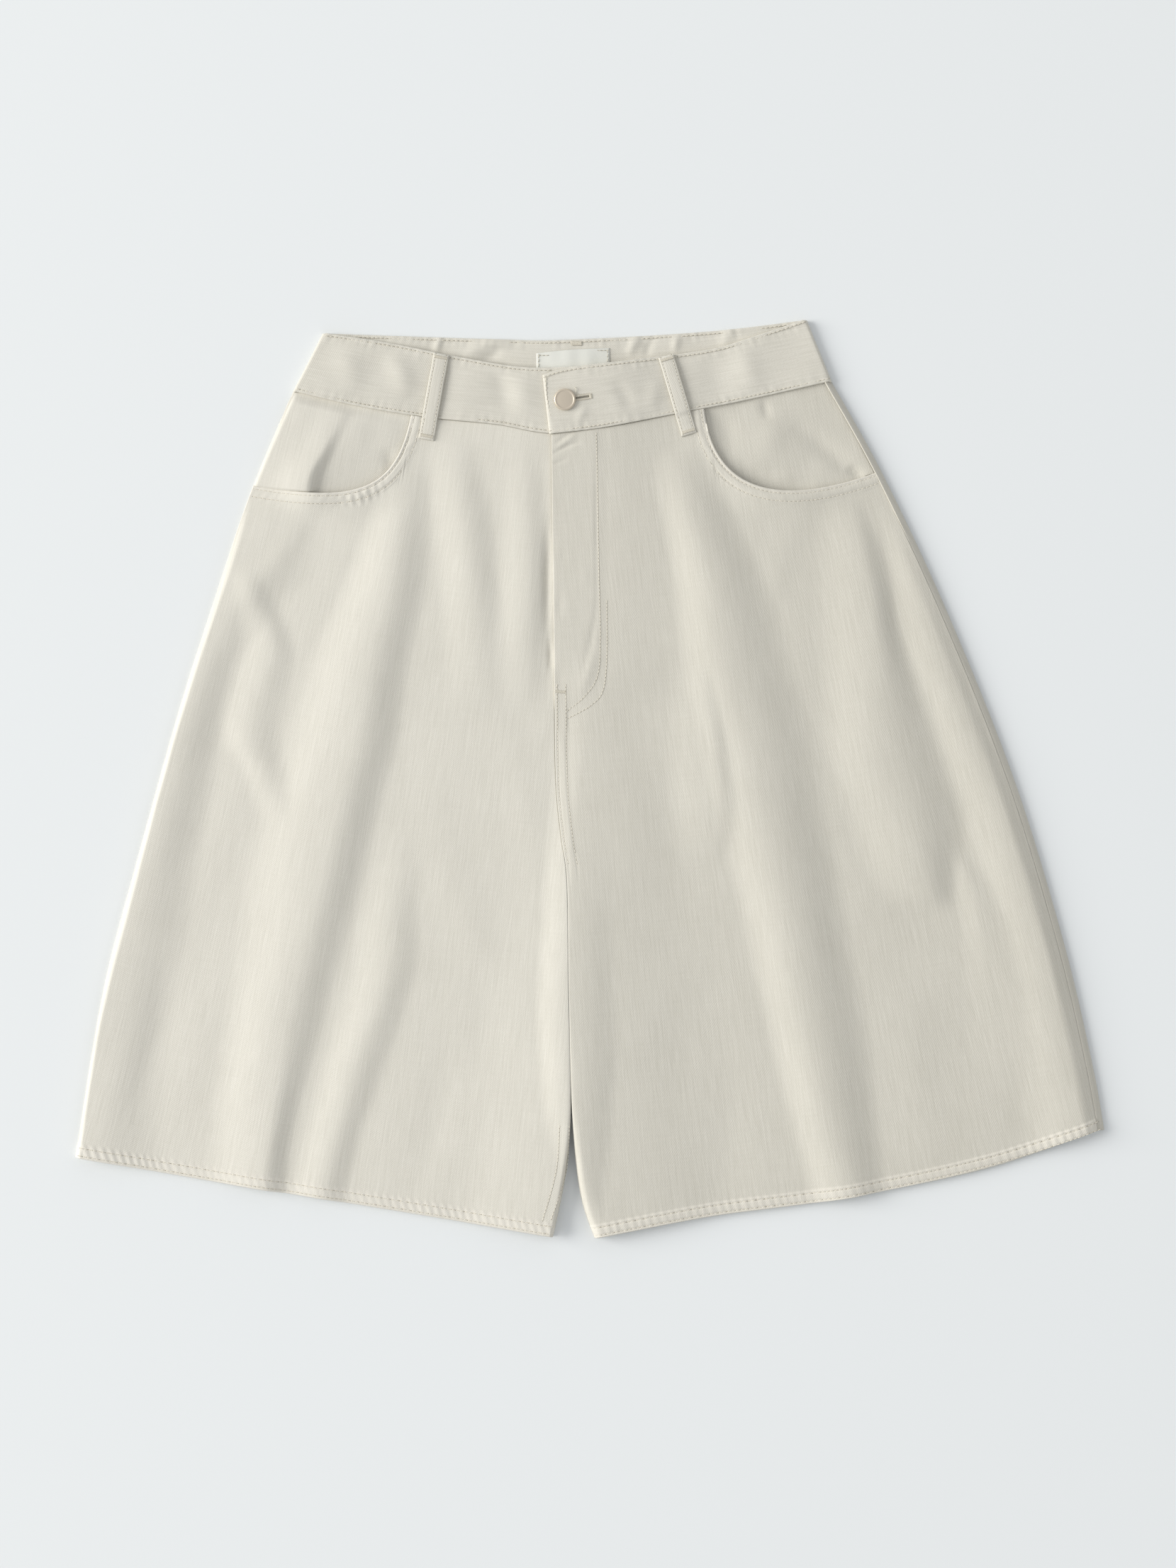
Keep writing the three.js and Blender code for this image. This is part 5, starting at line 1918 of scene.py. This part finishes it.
@dataclass
class Buttonhole:
    """A keyhole through the lapped end, bound with close stitches."""

    x: float = -18.8
    y: float = 266.8
    length: float = 20.0
    rise: float = 2.8
    width: float = 1.3
    eyelet: float = 2.4

    def outline(self, grown: float) -> Array:
        """The keyhole's outline, grown by a distance.

        Args:
            grown: that distance.

        Returns:
            Its points in order.
        """
        r, half = self.eyelet + grown, self.width / 2 + grown
        turn = math.asin(min(0.95, half / r))
        around = np.linspace(turn, 2 * math.pi - turn, 22)
        eye = np.column_stack([r * np.cos(around), r * np.sin(around)])
        far = self.length - self.eyelet + grown
        tip = np.linspace(-math.pi / 2, math.pi / 2, 7)
        end = np.column_stack([far - half + half * np.cos(tip), half * np.sin(tip)])
        path = np.concatenate([eye, end])
        angle = math.atan2(self.rise, self.length)
        turned = np.array([[math.cos(angle), math.sin(angle)], [-math.sin(angle), math.cos(angle)]])
        return path @ turned + np.array([self.x, self.y])

    def make(self, wardrobe: Wardrobe, tree: StitchTree) -> None:
        """Binds the hole, ends it with a bar and leaves a thread's tail.

        Args:
            wardrobe: the finishes.
            tree: the stitches' node tree.
        """
        sewing = Sewing("stitching_buttonhole", tree, wardrobe)
        path = self.outline(0.75)
        path = np.concatenate([path, path[:1]])
        line = Line(path, smooth=False)(np.linspace(0, 1, 200))
        z = lapped_front(line[:, 0])
        sewing.sew(BUTTONHOLE_STITCH, np.column_stack([line, z + 0.05]))
        angle = math.atan2(self.rise, self.length)
        tip = np.array([self.x, self.y]) + (self.length - 1.6) * np.array([math.cos(angle), math.sin(angle)])
        across = np.array([-math.sin(angle), math.cos(angle)]) * 1.6
        bar = Line([tip - across, tip + across], smooth=False)(np.linspace(0, 1, 6))
        sewing.sew(BAR_TACK, np.column_stack([bar, lapped_front(bar[:, 0]) + 0.2]))
        sewing.make()
        loose = Line([[-12.2, 275.8], [-10.9, 274.0], [-11.4, 272.2], [-9.6, 270.6], [-8.8, 268.8]])
        tail = loose(np.linspace(0, 1, 30))
        height = lapped_front(tail[:, 0]) + 0.5 + 0.4 * np.sin(np.linspace(0, 6, 30))
        dress(thread_tail("thread_tail_buttonhole", np.column_stack([tail, height]), 0.22, wardrobe.thread), Slot.DENIM)


def thread_tail(name: str, path: Array, radius: float, material: Material) -> Object:
    """A loose thread end along a path, as a closed tube.

    Args:
        name: its name.
        path: its points in space.
        radius: the thread's.
        material: its finish.

    Returns:
        The tube.
    """
    tangent = np.gradient(path, axis=0)
    tangent /= np.linalg.norm(tangent, axis=1)[:, None]
    side = np.cross(tangent, [0, 0, 1])
    side /= np.linalg.norm(side, axis=1)[:, None]
    up = np.cross(side, tangent)
    around = np.linspace(0, 2 * np.pi, 7)[:-1]
    taper = np.ones(len(path))
    taper[[0, -1]] = 0.3
    ring = path[:, None] + radius * taper[:, None, None] * (
        np.cos(around)[None, :, None] * side[:, None] + np.sin(around)[None, :, None] * up[:, None]
    )
    stations, count = ring.shape[:2]
    index = np.arange(stations * count).reshape(stations, count)
    following = np.roll(index, -1, axis=1)
    sides = np.stack([index[:-1], index[1:], following[1:], following[:-1]], axis=-1).reshape(-1, 4)
    ends = [[row[0], *row[k : k + 3]] for k in (1, 3) for row in (index[0], index[-1])]
    return outward(add_mesh(name, ring.reshape(-1, 3), np.concatenate([sides, np.array(ends)]), None, material))


@dataclass
class BeltLoop:
    """A belt loop on the front: a folded strip, edge stitched, tacked at both ends and standing off in between."""

    side: Side
    top: tuple[float, float]
    low: tuple[float, float]
    width: float = LOOP_WIDTH
    length: float = 62.0
    cloth: float = 1.6
    stand_off: float = 1.0

    def height(self, share: Array, across: Array) -> Array:
        """Height of its outside at shares up it and places across it, from -1 to 1.

        Args:
            share: shares up the loop.
            across: places across it.

        Returns:
            The height, one row for each share.
        """
        a, b = np.array(self.low), np.array(self.top)
        middle = a[None] + (b - a)[None] * np.asarray(share).reshape(-1, 1)
        x, y = middle[:, 0], middle[:, 1]
        on_band = band_front(x) + np.where(x > LAYERS.closure_x, lap_lift(x), 0)
        on_panel = LAYERS.front_lift + LAYERS.cloth + fold_height(x, y) + waist_lift(x, y)
        band_low = Line(BAND_LOW_RIGHT if self.side is Side.RIGHT else BAND_LOW_LEFT).y_at(x)
        seat = on_panel + (on_band - on_panel) * ramp(y - band_low, -3, 1)
        seat = np.maximum(seat, on_band - 1.2) + LAYERS.gap + self.cloth
        seat = (seat + self.stand_off * np.sin(np.pi * np.clip((share - 0.13) / 0.78, 0, 1)) ** 0.7).reshape(-1, 1)
        across = np.asarray(across).reshape(1, -1)
        edge = (1 - np.abs(across)) * self.width / 2
        rounded = edge_round(edge, 0.8, 0.9)
        rows = 0.25 * ridge(edge - 1.6, 0.5)
        middle_swell = 0.25 * (1 - across**2)
        return seat - rounded - rows + middle_swell

    def make(self, wardrobe: Wardrobe, sewing: Sewing) -> Object:
        """Builds the loop and adds its stitching.

        Args:
            wardrobe: the finishes.
            sewing: takes its stitching.

        Returns:
            The loop.
        """
        a, b = np.array(self.low), np.array(self.top)
        way = (b - a) / np.linalg.norm(b - a)
        side = np.array([way[1], -way[0]]) * self.width / 2
        across = np.concatenate([[-1, -0.97, -0.92, -0.84], np.linspace(-0.72, 0.72, 15), [0.84, 0.92, 0.97, 1]])
        share = np.linspace(0, 1, 70)
        waver = 0.25 * ripple(share * 60, share * 0, 41, 22, 22)
        places = a + (b - a) * share[:, None, None]
        places = places + side * across[None, :, None] + side * (waver * 0.06)[:, None, None]
        height = self.height(share, across)
        end = np.minimum(share, 1 - share)[:, None] * self.length
        height = height - edge_round(end, 0.9)
        outer = np.dstack([places, height])
        points, faces = shell(outer, self.cloth, 1)
        run = np.broadcast_to(share[:, None] * self.length, height.shape)
        flat = np.stack([np.broadcast_to(across[None] * self.width / 2, height.shape), run], axis=-1).reshape(-1, 2)
        node = f"belt_loop_{self.side.word}"
        strip = add_mesh(f"{node}_cloth", points, faces, np.concatenate([flat] * 2), wardrobe.twill)
        piece = dress(strip, Slot.DENIM, node)
        for offset in (-0.7, 0.7):
            t = np.linspace(0.03, 0.97, 40)
            row = a + (b - a) * t[:, None] + side * offset
            z = self.height(t, np.array([offset]))[:, 0]
            sewing.sew(FINE_STITCH, np.column_stack([row, z + 0.08]))
        for t in (0.045, 0.955):
            ends = a + (b - a) * t + side * np.linspace(-0.8, 0.8, 9)[:, None]
            z = self.height(np.array([t]), np.linspace(-0.8, 0.8, 9))[0]
            sewing.sew(BAR_TACK, np.column_stack([ends, z + 0.12]))
        return piece


@dataclass
class Label:
    """A bare satin label, caught down at its corners inside the back waistband."""

    x: float = -13.0
    top: float = 302.0
    width: float = 51.5
    height: float = 28.0
    cloth: float = 0.4
    tilt: float = 0.068

    def make(self, wardrobe: Wardrobe, sewing: Sewing) -> Object:
        """Builds the label and the stitches at its corners.

        Args:
            wardrobe: the finishes.
            sewing: takes its stitching.

        Returns:
            The label.
        """
        u, v = np.linspace(-0.5, 0.5, 60), np.linspace(0, 1, 34)
        along = np.broadcast_to(u[None] * self.width, (len(v), len(u)))
        x = self.x + along
        y = self.top - self.height * (1 - v)[:, None] + self.tilt * along + 0.7 * np.cos(np.pi * u)[None] * v[:, None]
        z = self.lie(x) + 0.5 * bell(u * 2)[None] * bell((v - 0.75) / 0.5)[:, None] + 0.12 * ripple(x, y, 51, 18, 40)
        points, faces = shell(np.dstack([x, y, z]), self.cloth, 1)
        piece = dress(add_mesh("label_satin", points, faces, None, wardrobe.satin), Slot.SATIN, "label")
        for sign in (-1, 1):
            corner_y = self.top - 1.6 + sign * self.tilt * self.width / 2
            corner = np.array([self.x + sign * (self.width / 2 - 1.4), corner_y])
            for direction in ((0, -6.5), (-sign * 5.5, 0)):
                path = corner + np.linspace(0, 1, 6)[:, None] * np.array(direction)
                sewing.sew(FINE_STITCH, np.column_stack([path, self.lie(path[:, 0]) + 0.35]))
        return piece

    def lie(self, x: Array) -> Array:
        """Height of its upper face on the waistband's inside."""
        return back_lift(x) + LAYERS.band + LAYERS.gap + self.cloth


@dataclass
class Button:
    """A shank button: a shallow dish with a rolled rim, on a stem through the buttonhole."""

    x: float = -18.8
    y: float = 266.8
    radius: float = 7.6
    stem: float = 2.0
    faces_around: int = 72

    def make(self, wardrobe: Wardrobe) -> Object:
        """Turns the button's profile.

        Args:
            wardrobe: the finishes.

        Returns:
            The button.
        """
        seat = float(band_front(np.array(self.x))) + LAYERS.gap
        rim = float(lapped_front(np.array(self.x))) + LAYERS.gap
        r = self.radius
        profile = np.array([
            [0.0, seat], [self.stem, seat], [self.stem, rim + 0.1], [r * 0.6, rim + 0.05], [r - 0.9, rim],
            [r - 0.3, rim + 0.2], [r, rim + 0.8], [r + 0.02, rim + 1.2], [r - 0.2, rim + 1.7], [r - 0.6, rim + 2.05],
            [r - 1.0, rim + 2.15], [r - 1.35, rim + 2.05], [r - 1.6, rim + 1.85], [r - 2.0, rim + 1.85],
            [r * 0.55, rim + 2.0], [r * 0.3, rim + 2.1], [0.0, rim + 2.14],
        ])
        count = self.faces_around
        around = np.linspace(0, 2 * np.pi, count + 1)[:-1]
        ring = profile[1:-1]
        points = np.stack([
            self.x + ring[:, :1] * np.cos(around), self.y + ring[:, :1] * np.sin(around),
            np.broadcast_to(ring[:, 1:], (len(ring), count)),
        ], axis=-1).reshape(-1, 3)
        points = np.concatenate([points, [[self.x, self.y, profile[0, 1]], [self.x, self.y, profile[-1, 1]]]])
        index = np.arange(len(ring) * count).reshape(len(ring), count)
        following = np.roll(index, -1, axis=1)
        faces = [tuple(q) for q in np.stack([index[:-1], following[:-1], following[1:], index[1:]], -1).reshape(-1, 4)]
        foot, crown = len(ring) * count, len(ring) * count + 1
        faces += [(foot, b, a) for a, b in zip(index[0], following[0])]
        faces += [(crown, a, b) for a, b in zip(index[-1], following[-1])]
        mesh = bpy.data.meshes.new("button")
        mesh.from_pydata(in_frame(points).tolist(), [], [tuple(int(i) for i in f) for f in faces])
        mesh.shade_smooth()
        mesh.materials.append(wardrobe.metal)
        return dress(outward(link_new("button_metal", mesh)), Slot.METAL, "button")


def dress_hidden_nodes(wardrobe: Wardrobe) -> None:
    """Gives the pieces that stay as solids their finish.

    Args:
        wardrobe: the finishes.
    """
    areas = {
        "pocket_bag_right": ((0.098, 0.103), 0.0085, wardrobe.cotton),
        "pocket_bag_left": ((0.107, 0.112), 0.0102, wardrobe.cotton),
        "fly_shield": ((0.036, 0.167), 0.0056, wardrobe.thread),
        "belt_loop_back": ((0.011, 0.053), None, wardrobe.thread),
    }
    for name, (flat, area, material) in areas.items():
        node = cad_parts[name]
        node.data.materials.clear()
        node.data.materials.append(material)
        log.info("%s: kept as its solid", name)


# The studio.
@dataclass
class Studio:
    """A pale floor, a soft low light from the wearer's right, and a camera straight above.

    The floor and the light are in metres in the frame.
    """

    image: tuple[int, int] = (1659, 2212)
    pixel: float = 0.5
    image_centre: tuple[float, float] = (-2.5, -3.25)
    camera_height: float = 2400.0
    sensor: float = 36.0
    floor_half: float = 3.2
    key_power: float = 1560.0
    key_size: float = 8.0
    key_place: tuple[float, float, float] = (-11.2, 1.33, 5.04)
    key_colour: tuple[float, float, float] = (1.0, 0.985, 0.955)
    sky: tuple[float, float, float] = (0.97, 0.985, 1.0)
    sky_strength: float = 0.6

    def make(self, wardrobe: Wardrobe) -> None:
        """Builds the floor, the lights and the camera.

        Args:
            wardrobe: the finishes.
        """
        half = self.floor_half
        mesh = bpy.data.meshes.new("studio_floor")
        mesh.from_pydata([(-half, -half, 0), (half, -half, 0), (half, half, 0), (-half, half, 0)], [], [(0, 1, 2, 3)])
        mesh.materials.append(wardrobe.floor)
        floor = link_new("studio_floor", mesh)
        self.light()
        self.camera()

    def light(self) -> None:
        """Adds the key light and an even pale sky."""
        lamp = bpy.data.lights.new("key", "AREA")
        lamp.shape = "DISK"
        lamp.size = self.key_size
        lamp.energy = self.key_power
        lamp.color = self.key_colour
        key = link_new("key", lamp)
        key.location = self.key_place
        key.rotation_euler = (-Vector(self.key_place)).to_track_quat("-Z", "Y").to_euler()
        world = bpy.data.worlds.new("studio")
        world.use_nodes = True
        background = world.node_tree.nodes["Background"]
        background.inputs["Color"].default_value = (*self.sky, 1)
        background.inputs["Strength"].default_value = self.sky_strength
        bpy.context.scene.world = world
        bpy.context.scene.view_settings.view_transform = "Standard"
        bpy.context.scene.view_settings.look = "None"

    def camera(self) -> None:
        """Adds the camera, which looks straight down with the waist at the top of the picture."""
        view = bpy.data.cameras.new("camera")
        view.sensor_width = self.sensor
        view.lens = self.sensor * self.camera_height / (self.image[1] * self.pixel)
        view.clip_end = 20
        camera = link_new("camera", view)
        x, y = (c + s for c, s in zip(self.image_centre, SHIFT))
        camera.location = (x * MM, y * MM, self.camera_height * MM)
        bpy.context.scene.camera = camera


def main() -> None:
    """Builds the shorts and the studio."""
    logging.basicConfig(level=logging.INFO, format="%(name)s: %(message)s")
    wardrobe = Wardrobe.made()
    Studio().make(wardrobe)
    tree = StitchTree()
    for side in Side:
        leg = make_leg(side)
        BackPanel(leg).make(wardrobe)
        Bearer(leg).make(wardrobe)
        FrontPanel(leg).make(wardrobe, tree)
    Waistband().make(wardrobe, tree)
    Buttonhole().make(wardrobe, tree)
    loops = Sewing("stitching_loops", tree, wardrobe)
    BeltLoop(Side.RIGHT, (-105.5, 299.5), (-116.5, 239)).make(wardrobe, loops)
    BeltLoop(Side.LEFT, (52.3, 298), (68.8, 242.5)).make(wardrobe, loops)
    Label().make(wardrobe, loops)
    loops.make()
    Button().make(wardrobe)
    dress_hidden_nodes(wardrobe)


if __name__ == "__main__":
    main()
